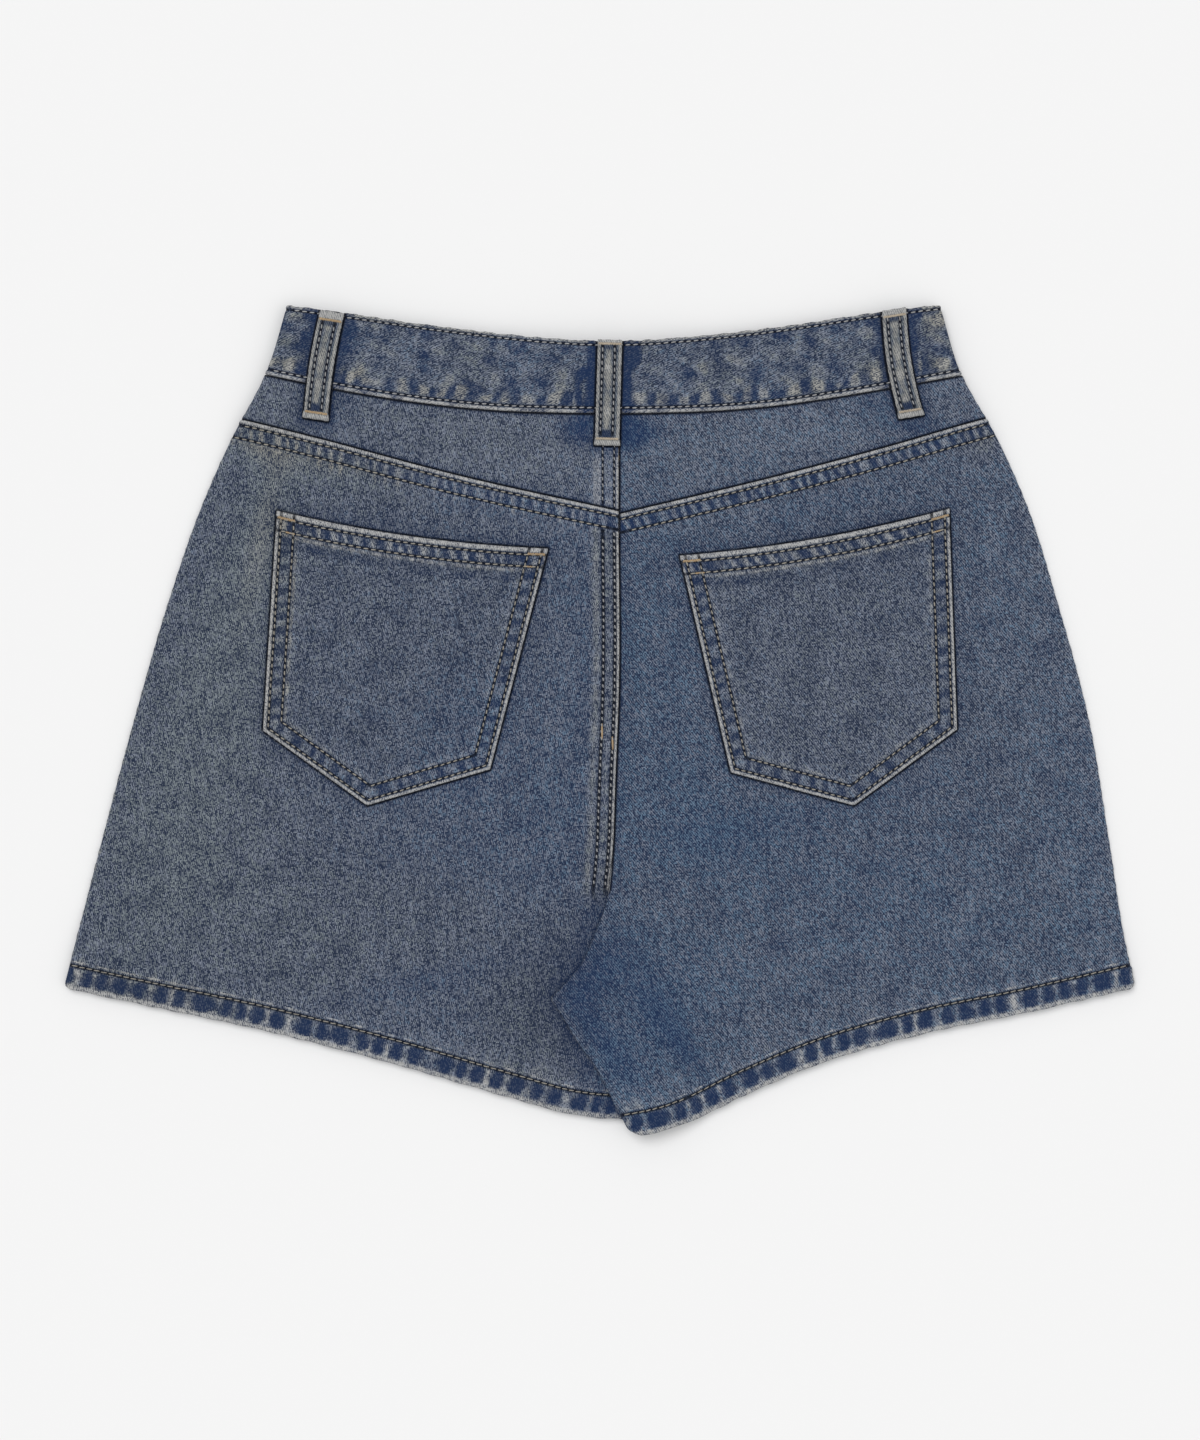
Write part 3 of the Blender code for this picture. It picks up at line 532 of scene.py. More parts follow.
def gap(leg, x, y, to_hem):
    """The air between a leg's front and back."""
    inside = ramp(np.abs(x - side_x(leg, y)), 0, GAP_RUN)
    if leg == "left":
        inside = inside * (1 - pressed(x, y))
    else:
        past_inseam = ramp(x - x_of(INNER["right"], y), 0, GAP_RUN)
        inside = inside * np.maximum(past_inseam * (1 - crossing(x, y)), 1 - ramp(-y, *CROSS_START))
    air = mix(GAP_SIDE, GAP_MIDDLE, inside)
    air = mix(air, GAP_WAIST, near_waist(x, y))
    return mix(air, 2 * (FOLDED - WALL) + GAP_SIDE, near_hem(to_hem))


def over_left_leg(x, y):
    """How far the right leg is raised where it lies on the left one."""
    thickness = mix(2 * WALL, 2 * FOLDED, near_hem(y - y_of(HEM_EDGE["left"], x) - HEM_SLOPE))
    return crossing(x, y) * (thickness + GAP_SIDE + OVER)


def front_low(leg, x, y):
    """The underside of a leg's front."""
    if leg == "left":
        return lift(x, y)
    return lift(x, y) + fly_lift(x, y) + over_left_leg(x, y)


def back_low(leg, x, y, to_hem):
    """The underside of one layer of cloth on a leg's back."""
    low = lift(x, y) + WALL + gap(leg, x, y, to_hem) + centre_rise(x, y)
    return low + over_left_leg(x, y) * (leg == "right")


def back_top(x, y):
    """The top of the back cloth away from the hem, for what is sewn on it."""
    low = [back_low(leg, x, y, AWAY_FROM_HEM) for leg in LEGS]
    return np.where(x < CENTRE, low[0], low[1]) + WALL + creases(x, y)


def band_low_back(x):
    """The underside of the waistband's back."""
    lap = LAP_RISE * (1 - ramp(np.abs(x - FRONT_X), LAP_HOLD, LAP_FADE))
    return BAND_LOW + FOLDED + BAND_GAP + lap


def band_low_front(x, under):
    """The waistband's front; under is 1 on the half that is buttoned inside the other."""
    return BAND_LOW + under * LAP_RISE * (1 - ramp(x - FRONT_X, LAP_HOLD, LAP_FADE))


def turned(x, y, row):
    """A table row's own across and along, in half widths."""
    turn = math.radians(row["turn"])
    dx, dy = x - row["x"], y - row["y"]
    return dx * math.cos(turn) + dy * math.sin(turn), dy * math.cos(turn) - dx * math.sin(turn)


def rows_of(columns):
    return [dict(zip(columns, values)) for values in zip(*columns.values())]


def creases(x, y):
    """The soft troughs and ridges of the legs, gone at their edges."""
    total = 0 * x
    for row in rows_of(CREASES):
        length, width = turned(x, y, row)
        # a crease bends a little along its length
        width = width - row["wide"] * 0.35 * np.sin(length / row["long"] * 2.1 + row["x"])
        total = total + row["height"] * np.exp(
            -((width / row["wide"]) ** 2) - (length / row["long"]) ** 4
        )
    off_edge = np.minimum(np.abs(x - side_x("left", y)), np.abs(x - side_x("right", y)))
    off_inseam = np.where(y < SEAT_END_Y, np.abs(x - x_of(INNER["right"], y)), off_edge)
    free = ramp(np.minimum(off_edge, off_inseam), *CREASE_EDGE) * ramp(y, *CREASE_HEM)
    return total * free * ramp(below_waist(x, y), *CREASE_WAIST)


# ---- what wear and sewing do


def uneven(run, period, seed):
    """A wave from -1 to 1 along a seam that never quite repeats."""
    turn = 2 * np.pi * run / period
    drift = 0.9 * np.sin(turn / 3.7 + seed) + 0.5 * np.sin(turn / 2.3 + 1.7 * seed)
    drift = drift + 0.9 * np.sin(turn / 6.1 + 2.9 * seed)
    return np.sin(turn + drift) * (0.75 + 0.25 * np.sin(turn / 5.3 + 3.1 * seed))


def mottle(x, y, size, seed):
    """Smooth unevenness over a surface, about -1 to 1, its patches that size."""
    draw = np.random.default_rng(seed)
    total = 0
    for _ in range(MOTTLE_WAVES):
        angle, phase = draw.uniform(0, 2 * np.pi, 2)
        length = 2 * size * draw.uniform(0.7, 1.7)
        across = (x * math.cos(angle) + y * math.sin(angle)) / length
        total = total + np.sin(2 * np.pi * across + phase)
    return total / math.sqrt(MOTTLE_WAVES)


def bump(off, width):
    return np.exp(-((off / width) ** 2))


def between(off, low, high, soft=0.9):
    """1 between two distances from an edge and 0 outside them."""
    return ramp(off, low - soft, low + soft) * (1 - ramp(off, high - soft, high + soft))


class Wear:
    """What sewing and washing give a piece's points, with painted shade: their rise, wear, depth of
    blue and shade, and hue.
    """

    def __init__(self, x, y):
        self.x, self.y = x, y
        self.rise, self.worn, self.deep, self.blue = (np.zeros(x.shape) for _ in range(4))
        self.covered = np.full(x.shape, BARE)
        self.seams = []

    def rub(self, amount):
        self.worn = np.maximum(self.worn, amount)

    # darker and bluer: unworn dye, and painted shade when shade() and under() call it
    def darken(self, amount):
        self.deep = np.maximum(self.deep, amount)

    def shade(self, off, reach, amount):
        """Cloth beside an edge darkened: unworn there, and painted shade."""
        self.darken(amount * np.exp(-np.maximum(off, 0) / reach))

    def under(self, off, reach, amount):
        """Another piece's edge lies that far off, over this one: a painted shadow beside that edge.
        """
        self.covered = np.minimum(self.covered, np.abs(off))
        self.shade(np.abs(off), reach, amount)

    def blend_in(self, other, share):
        """Another seam's look over this one's, by a share at each point."""
        self.rise += other.rise * share
        self.worn = mix(self.worn, other.worn, share)
        self.deep = mix(self.deep, other.deep, share)
        self.blue = self.blue + other.blue * share
        self.seams += [(seam, off, run, own * share) for seam, off, run, own in other.seams]

    def piping(self, off, run, first, seed, wear=1.0):
        """A folded edge outside its first row of stitches, rubbed pale."""
        self.rise += PIPING * np.sin(np.pi * np.clip(off / first, 0, 1)) ** 0.7
        edge = 1 - ramp(off, 0.5 * first, first)
        self.rub(wear * edge * (0.9 + 0.1 * uneven(run, 9.0, seed)))

    def rows(self, seam, off, run, sewn=1.0):
        """The stitches pull the cloth in, and it stays unworn there, with painted shade in the
        groove; sewn is 0 past a row's end.
        """
        for row in seam.rows:
            near = bump(off - row, 0.75) * sewn
            self.rise -= GROOVE * near
            self.worn *= 1 - 0.85 * near
            self.darken(0.5 * bump(off - row, 1.0) * sewn)
        self.seams.append((seam, off, run, sewn + 0 * off))

    def puckers(self, off, run, low, high, period, seed, slant, pale, dark):
        """Little ridges across the cloth between two rows of stitches, rubbed pale on top."""
        wave = uneven(run + slant * off, period, seed)
        inside = between(off, low, high, 0.7)
        self.rise += PUCKER * inside * wave
        self.worn *= 1 - inside
        self.rub(pale * inside * ramp(wave, -0.45, 0.75))
        self.darken(dark * inside * ramp(-wave, -0.1, 0.65))

    def streaks(self, off, run, start, period, seed, slant, pale=0.6):
        """The puckers' ridges running out beyond the last row."""
        wave = uneven(run + slant * off, period, seed)
        fade = ramp(off, start - 0.2, start + 0.8) * np.exp(-np.maximum(off - start, 0) / STREAK)
        self.rub(pale * fade * ramp(wave, 0.0, 0.9))
        self.darken(0.4 * fade * ramp(-wave, 0.1, 0.9))
        self.rise += 0.08 * fade * wave

    def seam(self, seam, seed, period, slant, pale=0.7, dark=0.9, beyond=0.5):
        """A folded edge sewn down with two rows of stitches."""
        off, run = seam.line.near(self.x, self.y)
        first, last = seam.rows
        self.puckers(off, run, first + 0.7, last - 0.7, period, seed, slant, pale, dark)
        self.streaks(off, run, last + 0.5, period, seed, slant, beyond)
        fade = np.exp(-np.maximum(off - last, 0) / STREAK)
        self.rub(0.4 * beyond * ramp(off, last + 0.4, last + 1.2) * fade)
        self.piping(off, run, first, seed)
        self.rows(seam, off, run)
        return off, run

    def hem(self, seam, seed, slant):
        """A turned-up hem: dark hollows between pale ridges, rubbed white along its edge."""
        off, run = seam.line.near(self.x, self.y)
        wave = uneven(run + slant * off, HEM_PUCKER, seed)
        inside = between(off, 2.4, HEM_ROW - 1.0, 1.1)
        patches = 0.25 * mottle(self.x, self.y, 4.0, 63)
        hollow = ramp(patches - wave - 0.6 * ((off - 7.2) / 5.0) ** 2, -0.95, 0.2)
        self.rise += 0.3 * inside * wave
        self.rub(0.7 * inside * (1 - hollow) * (0.8 + 0.3 * mottle(self.x, self.y, 3.0, 61)))
        self.rub(0.95 * inside * ramp(wave, 0.65, 1.0))
        self.darken(inside * hollow)
        self.streaks(off, run, HEM_ROW + 0.5, HEM_PUCKER, seed, slant, 0.75)
        fold = between(off, HEM_ROW + 1.5, HEM_ROW + 2.7, 0.6)
        self.rub(fold * (0.7 + 0.25 * uneven(run, 14.0, seed + 5) + 0.15 * wave))
        self.rub((0.88 + 0.12 * uneven(run, 6.0, seed + 3)) * (1 - ramp(off, 2.0, 4.4)))
        self.rows(seam, off, run)
        return off

    def side(self, line, seed):
        """The fold of the side seam, a little roped and rubbed in ticks."""
        off, run = line.near(self.x, self.y)
        wave = uneven(run, 8.0, seed)
        self.rub(0.55 * bump(off, 1.6) * (0.6 + 0.6 * wave))
        self.rise += 0.25 * bump(off, 2.2) * wave

    def spots(self, places, share=1.0):
        for row in rows_of(places):
            across, up = turned(self.x, self.y, row)
            near = share * np.exp(-((across / row["wide"]) ** 2) - (up / row["high"]) ** 2)
            self.worn = mix(self.worn, row["worn"] > 0, abs(row["worn"]) * near)
            self.worn = self.worn * (1 - row["deep"] * near)
            self.deep = mix(self.deep, row["deep"] > 0, np.maximum(row["deep"], row["worn"]) * near)
            self.blue += row["blue"] * near

    def wash(self, seed, worn=0.08):
        """The large soft patches of washing, and finer unevenness."""
        self.spots(SPOTS)
        small = worn * mottle(self.x, self.y, 8.0, seed)
        self.rub(small + 0.7 * worn * mottle(self.x, self.y, 24.0, seed + 1))
        self.darken(0.1 * mottle(self.x, self.y, 11.0, seed + 2) + 0.05)

    def marks(self):
        """Named values for the material, each with what the inside of the cloth has."""
        return {
            "worn": (np.clip(self.worn, 0, 1), 0.0),
            "deep": (np.clip(self.deep, 0, 1), 0.0),
            "blue": (np.clip(self.blue, -1, 1), 0.0),
            # how far off the edge of a piece lying over this one is, for a painted shadow
            "covered": (self.covered, BARE),
            "inside": (0 * self.worn, 1.0),
        }


# ---- cloth


def steps(start, end, size):
    return np.linspace(start, end, max(2, int(round(abs(end - start) / size)) + 1))


def with_height(plan, height):
    return np.concatenate([plan, np.asarray(height)[..., None]], axis=-1)


def normals_of(grid):
    """Unit vectors off a grid of points, all on one side of it."""
    return unit(np.cross(np.gradient(grid, axis=0), np.gradient(grid, axis=1)) + 1e-12)


def quads(*corners):
    return np.stack(corners, axis=-1).reshape(-1, 4)


def grid_faces(rows, columns, first):
    index = first + np.arange(rows * columns).reshape(rows, columns)
    return quads(index[:-1, :-1], index[:-1, 1:], index[1:, 1:], index[1:, :-1])


def rim_faces(rows, columns):
    """The faces that join the edges of two grids, the second one's points after the first's."""
    index = np.arange(rows * columns).reshape(rows, columns)
    rim = np.concatenate([index[0], index[1:, -1], index[-1, -2::-1], index[-2:0:-1, 0]])
    after = np.roll(rim, -1)
    second = rows * columns
    return quads(after, rim, rim + second, after + second)


def volume(points, faces):
    first, second, third, fourth = (points[faces[:, k]] for k in range(4))
    whole = (first * np.cross(second, third)).sum() + (first * np.cross(third, fourth)).sum()
    return whole / 6


def new_mesh(name, points, faces, smooth=True):
    mesh = bpy.data.meshes.new(name)
    mesh.from_pydata((points * MM).tolist(), [], faces)
    mesh.update()
    if smooth:
        mesh.shade_smooth()
    return mesh


def new_object(name, data):
    made = bpy.data.objects.new(name, data)
    bpy.context.scene.collection.objects.link(made)
    return made


def new_piece(name, mesh, material, slot, *nodes):
    """A part of the shorts, hiding the nodes it stands for; its slot is not used."""
    piece = new_object(name, mesh)
    piece.data.materials.append(material)
    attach(piece, BODY)
    if nodes:
        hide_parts(*nodes)
    return piece


CLEAR = 60.0  # well above or below the cloth


class Cloth:
    """One sewn piece: a closed wall between an outer and an inner grid of points."""

    def __init__(self, node, outer, inner, wear, weave=None, slot="denim"):
        self.node = node
        normals = normals_of(outer)
        if (normals * (outer - inner)).sum() < 0:
            normals = -normals
        outer = outer + normals * wear.rise[..., None]
        rows, columns = outer.shape[:2]
        count = rows * columns
        points = np.concatenate([outer.reshape(-1, 3), inner.reshape(-1, 3)])
        shell = grid_faces(rows, columns, 0)
        lining = grid_faces(rows, columns, count)[:, ::-1]
        faces = np.concatenate([shell, lining, rim_faces(rows, columns)])
        if volume(points, faces) < 0:
            faces = faces[:, ::-1]
        mesh = new_mesh("cloth_" + node, points, faces.tolist())
        for name, (values, inside) in wear.marks().items():
            both = np.concatenate([values.ravel(), np.full(count, inside)])
            layer = mesh.attributes.new(name, "FLOAT", "POINT")
            layer.data.foreach_set("value", both)
        for number, (_, off, run, share) in enumerate(wear.seams):
            layer = mesh.attributes.new(f"seam_{number}", "FLOAT_VECTOR", "POINT")
            sewn = np.stack([off.ravel(), run.ravel(), share.ravel()], axis=-1)
            layer.data.foreach_set("vector", np.concatenate([sewn, 0 * sewn]).ravel())
        material = weave or denim_look(node, [seam for seam, _, _, _ in wear.seams])
        self.piece = new_piece("cloth_" + node, mesh, material, slot, node)
        self.tree = BVHTree.FromPolygons(points.tolist(), faces.tolist())

    def height(self, places, up):
        """The cloth's height at places in plan, seen from above or, with up -1, from below."""
        found = []
        for x, y in places:
            hit = self.tree.ray_cast(Vector((x, y, CLEAR * up)), Vector((0, 0, -up)))[0]
            found.append(hit.z if hit else np.nan)
        return np.array(found)


def patch(inner, outer, top, bottom):
    """The plan position between four edge curves, by the shares across and down."""

    def at(across, down):
        s, t = across[..., None], down[..., None]
        straight = (1 - s) * inner(down) + s * outer(down)
        top_bend = top(across) - (1 - s) * top(np.zeros(1)) - s * top(np.ones(1))
        low_bend = bottom(across) - (1 - s) * bottom(np.zeros(1)) - s * bottom(np.ones(1))
        return straight + (1 - t) * top_bend + t * low_bend

    return at


def spacing(place, width, from_inner, middle, from_outer, from_top, downs, from_hem):
    """Plan points of a panel, rows by columns, and their distances from its top and its hem.

    Columns keep their distances from the inner and outer edges, and rows theirs from
    the top and the hem; those between them are shared out.
    """
    fine = np.linspace(0, 1, len(width))
    first = from_inner[-1] / width
    last = 1 - from_outer[0] / width
    shares = [distance / width for distance in from_inner]
    shares += [mix(first, last, share) for share in middle]
    shares += [1 - distance / width for distance in from_outer]
    columns, from_start, to_end = [], [], []
    for share in shares:
        path = place(share, fine)
        length = np.concatenate([[0], np.cumsum(np.hypot(*np.diff(path, axis=0).T))])
        stops = list(from_top) + list(np.interp(downs, fine, length))
        stops += [length[-1] - distance for distance in from_hem]
        columns.append(in_plan(*(np.interp(stops, length, values) for values in path.T)))
        from_start.append(np.array(stops))
        to_end.append(length[-1] - np.array(stops))
    return (np.stack(values, axis=1) for values in (columns, from_start, to_end))


FOLD_TURN = np.radians(np.linspace(0, 90, 9))  # a folded edge's columns, by angle
BUTT_STEP = np.array((0.0, 0.15, 0.4, 0.8, 1.2, 1.6, 2.0, 2.4, 2.8))  # a sewn edge's, by distance
ROUND = 0.9  # a sewn edge is round over this length
FRONT_MEETS = 0.1  # the fronts' edges run this far past their seam line, and let no light through


def roundness(distance):
    """The share of its full thickness that cloth has this far in from a rounded edge."""
    return np.sqrt(1 - (1 - np.clip(distance / ROUND, 0.03, 1)) ** 2)


def row_roundness(from_top, count, from_foot):
    """The same for a panel's rows, a count of them between its top and its foot in full."""
    return roundness(np.concatenate([from_top, np.full(count, ROUND), from_foot]))


def edge_columns(edge, beside, low, high, thick, fold, up):
    """The last columns of a panel, rounded over where it folds and where it is sewn.

    edge and beside are plan points on the edge and further in.  low and high are the
    heights of the whole leg there.  Returns outer and inner points, the edge first.
    """
    fold, thick = fold[:, None], thick[:, None]
    middle, radius = ((high + low) / 2)[:, None], ((high - low) / 2)[:, None]
    inside = np.maximum(radius - thick, 0.1)
    least = SEAM_GAP / 2 * (FOLD_TURN == 0)
    face = np.where(up > 0, high, low)[:, None]
    inward = unit(beside - edge)[:, None, :]
    drop = (1 - roundness(BUTT_STEP)) * thick / 2
    sides = []
    for reach, sewn_height in ((radius, face - up * drop), (inside, face - up * (thick - drop))):
        step = np.where(fold, radius - reach * np.cos(FOLD_TURN), BUTT_STEP)
        height = middle + up * np.maximum(reach * np.sin(FOLD_TURN), least)
        height = np.where(fold, height, sewn_height)
        sides.append(with_height(edge[:, None, :] + inward * step[..., None], height))
    return sides


def with_edges(plan, face, thick, whole, fold, up):
    """Outer and inner points of a panel with its two edges finished."""
    outer, inner = with_height(plan, face), with_height(plan, face - up * thick)
    always = np.ones(len(plan), bool)
    centre_outer, centre_inner = edge_columns(
        plan[:, 0], plan[:, 1], whole[0][:, 0], whole[1][:, 0], thick[:, 0], fold, up
    )
    side_outer, side_inner = edge_columns(
        plan[:, -1], plan[:, -2], whole[0][:, -1], whole[1][:, -1], thick[:, -1], always, up
    )
    outer = np.concatenate([centre_outer, outer[:, 1:-1], side_outer[:, ::-1]], axis=1)
    inner = np.concatenate([centre_inner, inner[:, 1:-1], side_inner[:, ::-1]], axis=1)
    return outer, inner


def thinned(outer, inner, share):
    """Both grids drawn to the middle between them, to that share of their distance."""
    middle = (outer + inner) / 2
    return mix(middle, outer, share[:, None, None]), mix(middle, inner, share[:, None, None])


# ---- legs

WIDTHS_AT = np.linspace(0, 1, 401)  # the shares down a panel where its width is taken
EDGE_ROWS = (0.0, 0.12, 0.3, 0.6, 0.9, 1.4, 2.1)  # close together at a rounded edge
FINE = 0.8  # from one row or column to the next beside a seam
SIDE_COLUMNS = (9.0, 7.2, 5.4, 3.8, 0.0)  # by their distance from the side
INNER_COLUMNS = [0.0, *steps(3.4, 15.4, FINE)]
BACK_MESH, FRONT_MESH = 1.6, 3.6  # from one row or column to the next, away from the seams


def seat_seam(top):
    """The centre seam from a panel's top down to the fork."""
    return along({name: np.concatenate([top[name][:1], SEAT_SEAM[name]]) for name in "xy"})


def leg_curves(leg, top):
    """Inner edge, outer edge and hem of a leg's panel, each by its share of the length."""
    inner = end_to_end(seat_seam(top), along(FORK[leg]), along(INSEAM[leg]))
    side_y = (top["y"][-1], SIDE_AT_FORK, SIDE_AT_TIP, HEM_EDGE[leg]["y"][-1])

    def outer(at):
        y = np.interp(at, (0, FORK_START, FORK_TIP, 1), side_y)
        return in_plan(side_x(leg, y), y)

    return inner, outer, along(HEM_EDGE[leg])


def leg_grids(leg, up, top, coarse, shift=None):
    """The smooth outer and inner grids of a front (up -1) or back (up 1) panel."""
    inner_edge, outer_edge, hem = leg_curves(leg, top)
    place = patch(inner_edge, outer_edge, along(top), hem)
    width = np.hypot(*(outer_edge(WIDTHS_AT) - inner_edge(WIDTHS_AT)).T)
    middle = np.linspace(0, 1, int(250 / coarse))[1:-1]
    from_top = list(EDGE_ROWS) + list(steps(2.9, 16.0, FINE))
    downs = np.linspace(0.055, 0.921, int(280 / coarse))
    from_hem = list(steps(15.6, 2.9, FINE)) + list(EDGE_ROWS[::-1])
    plan, from_start, to_hem = spacing(
        place, width, INNER_COLUMNS, middle, SIDE_COLUMNS, from_top, downs, from_hem
    )
    lines = leg_lines(leg, top)
    for side in ("side", "inseam"):
        plan = rounded(plan, lines["hem"], lines[side], CORNER[leg, side])
    ragged = 0.3 * uneven(plan[..., 0], 17.0, len(leg)) + 0.3 * (up < 0)
    plan[..., 1] += ragged * (1 - ramp(to_hem, 0.0, 7.0))
    if shift is not None:
        plan = shift(plan)
    share_down = np.concatenate([np.zeros(len(from_top)), downs, np.ones(len(from_hem))])
    sewn = share_down <= FORK_START
    x, y = plan[..., 0], plan[..., 1]
    hemmed = 1 - ramp(to_hem, HEM, HEM + HEM_SLOPE)
    thick = mix(WALL, FOLDED, hemmed)
    low, high = front_low(leg, x, y), back_low(leg, x, y, to_hem) + WALL
    if up > 0:
        ridge = 1 - ramp(from_start, FELL, FELL + FELL_EDGE)
        if leg == "left":
            off, _ = line_of(inner_edge).near(x, y)
            seat = (1 - ramp(off, FELL, FELL + FELL_EDGE)) * sewn[:, None]
            ridge = np.maximum(ridge, seat)
        high = high + RIDGE * ridge
        thick = thick + RIDGE * ridge
        crease = creases(x, y) * (1 - ridge) * (1 - near_hem(to_hem))
        high = high + crease
    butt = SEAM_GAP / 2 if up > 0 else -FRONT_MEETS
    plan[sewn, 0, 0] += butt * (1 if leg == "right" else -1)
    outer, inner = with_edges(plan, high if up > 0 else low, thick, (low, high), ~sewn, up)
    outer[0, :, 1] -= SEAM_GAP / 2
    inner[0, :, 1] -= SEAM_GAP / 2
    return thinned(outer, inner, row_roundness(from_top, len(downs), from_hem))


PAST = 15.0  # how far a panel's top and hem lines are carried past its sides


def carried(line, both=True):
    """A line carried straight past its end, or past both."""
    first, last = line.points[0] - line.ways[0] * PAST, line.points[-1] + line.ways[-1] * PAST
    before = [first] if both else []
    return Line([*before, *line.points, last])


def leg_lines(leg, top):
    """The edges of a leg's panel as lines, its top and hem carried past the sides."""
    _, outer_edge, hem = leg_curves(leg, top)
    return {
        "top": carried(line_of(along(top)), False),
        "seat": line_of(seat_seam(top)),
        "inseam": line_of(along(FORK[leg], INSEAM[leg])),
        "side": line_of(outer_edge),
        "hem": carried(line_of(hem, 160)),
    }


# How round the corners of the hems are
CORNER = {
    ("left", "side"): 3.0,
    ("right", "side"): 4.0,
    ("left", "inseam"): 2.0,
    ("right", "inseam"): 5.0,
}


def rounded(plan, first, second, radius):
    """Plan points drawn in so that the corner of two edges is round."""
    x, y = plan[..., 0], plan[..., 1]
    reach = [np.clip(1 - line.near(x, y)[0] / radius, 0, 1) for line in (first, second)]
    corner = first.at([first.near(*second.points[-1])[1]])[0]
    leg_middle = np.array((first.points[:, 0].mean(), first.points[:, 1].mean() + 60.0))
    inward = unit(leg_middle - corner)
    first_bend, second_bend = (1 - np.sqrt(1 - share**2 / 2) for share in reach)
    drawn = reach[0] * second_bend + reach[1] * first_bend
    return plan + inward * (radius * 0.75 * drawn)[..., None]


def pocket_seams(leg):
    """A pocket's mouth, and its sewn sides and foot from its left corner round."""
    corners = in_plan(*POCKET[leg].values())
    bag = np.concatenate([corners[:1], corners[4:1:-1], corners[1:2]])
    dense = [mix(a, b, t) for a, b in zip(bag[:-1], bag[1:]) for t in np.linspace(0, 1, 12)[:-1]]
    mouth = line_of(pocket_mouth(corners[0], corners[1]), 40)
    return (
        Seam(mouth, -1, MOUTH_ROWS, STITCH, 0.6, 0.6),
        Seam(Line(dense + [bag[-1]]), 1, POCKET_ROWS, SHORT_STITCH, 3.0, 3.0),
    )


def pocket_mouth(left, right):
    def mouth(at):
        at = np.asarray(at, float)
        sag = in_plan(0 * at, -4 * POCKET_SAG * at * (1 - at))
        return mix(left, right, at[..., None]) + sag

    return mouth


def panel_seams(leg, top, felled):
    """A panel's sewn edges: the yoke seam and the seat seam where it has them, and the hem."""
    lines = leg_lines(leg, top)
    side = 1 if leg == "left" else -1
    seams = {"hem": Seam(lines["hem"], -side, (HEM_ROW,), STITCH, PAST - 6.0, PAST - 6.0, 1.4)}
    if felled:
        seams["top"] = Seam(lines["top"], side, YOKE_ROWS, STITCH, 0.4, PAST - 4.0)
        seams["seat"] = Seam(lines["seat"], -side, SEAT_ROWS, SHORT_STITCH, 11.0, 1.0, 1.4)
    return lines, seams


def back_wear(leg, x, y):
    """What shows on a back panel."""
    wear = Wear(x, y)
    lines, seams = panel_seams(leg, YOKE_SEAM[leg], True)
    seed = {"left": 1.0, "right": 4.4}[leg]
    wear.wash(3)
    puckers = {"left": (0.25, 0.62, 0.6, 1.0), "right": (-0.2, 0.6, 1.0, 0.6)}[leg]
    top_off, _ = wear.seam(seams["top"], seed, 6.2, *puckers)
    wear.side(lines["side"], seed + 2)
    seat_off, seat_run = lines["seat"].near(x, y)
    if leg == "left":
        seat = Wear(x, y)
        seat.seam(seams["seat"], 2.2, 8.2, 0.1, pale=0.35, dark=0.45, beyond=0.0)
        seat.rub(0.56 * bump(seat_off - 12.2, 2.3) * (0.85 + 0.25 * uneven(seat_run, 23.0, 5.0)))
        seat.rub(0.3 * between(seat_off, SEAT_ROWS[0] + 1.0, SEAT_ROWS[1] - 1.0, 0.8))
        seat.blue -= 0.7
        seat.shade(np.abs(seat_off - SEAT_ROWS[1] - 1.0), 0.8, 0.6)
        near = ramp(y, -100.0, -88.0) * ramp(top_off, YOKE_ROWS[1], YOKE_ROWS[1] + 2)
        wear.blend_in(seat, near * (1 - ramp(seat_off, 13.4, 16.0)))
    else:
        upper = 1 - ramp(-y, 92.0, 104.0)
        # painted shadow beside the left panel's felled edge, which lies over this one
        wear.under(np.where(upper > 0, seat_off, BARE), 1.2, 0.95 * upper)
        wear.shade(seat_off, 7.0, 0.3 * upper)
    # a pale line along the fold of the fork and inseam: rubbed, and partly a painted highlight on
    # the fold's edge
    off, run = lines["inseam"].near(x, y)
    wear.rub(0.4 * bump(off, 1.2) * ramp(-y, 86.0, 96.0) * (0.6 + 0.5 * uneven(run, 11.0, seed)))
    if leg == "left":
        # painted shade on the left leg beside and under the right leg's edge, as if cast by it
        off, _ = line_of(along(FORK["right"], INSEAM["right"])).near(x, y)
        outside = (x < x_of(INNER["right"], y)) & (y < -86.0)
        wear.shade(off, 2.0, 0.95 * outside)
        wear.darken(0.6 * outside * ramp(-y, 70.0, 112.0) * (1 - ramp(off, -4.0, 24.0)))
    mouth, bag = pocket_seams(leg)
    off = np.minimum(mouth.line.near(x, y)[0], bag.line.near(x, y)[0])
    # painted shadow beside the pocket's edges, wider above its mouth
    wear.under(off, 1.3, 0.9)
    wear.shade(off, 5.0, 0.3)
    wear.shade(mouth.line.near(x, y)[0], 6.0, 0.45)
    wear.hem(seams["hem"], seed, {"left": 0.05, "right": -0.1}[leg])
    return wear


def edge_moved(plan, inside, past_front):
    """A front's edge moved to that distance past the middle of the front, beside the zip."""
    moved = plan.copy()
    reach = ramp(plan[..., 1], *FLAP_ENDS)
    fade = 1 - np.clip(inside / FLY_EASE, 0, 1)
    moved[..., 0] += (past_front + FRONT_X - CENTRE) * reach * fade
    return moved


def fly_flap(plan):
    """The left front's edge, carried past the centre down to the end of the zip."""
    return edge_moved(plan, FRONT_X - plan[..., 0], FLY_FLAP)


def zip_side(plan):
    """The right front's edge, drawn back beside the zip."""
    return edge_moved(plan, plan[..., 0] - FRONT_X, ZIP_SIDE)


def front_waist(leg):
    """The seam of the front panel and the waistband, from the centre out."""
    x = CENTRE + (side_x(leg, SIDE_SEAM_Y) - CENTRE) * np.linspace(0, 1, 6)
    return {"x": x, "y": waist_y("seam", x) - front_dip(x)}


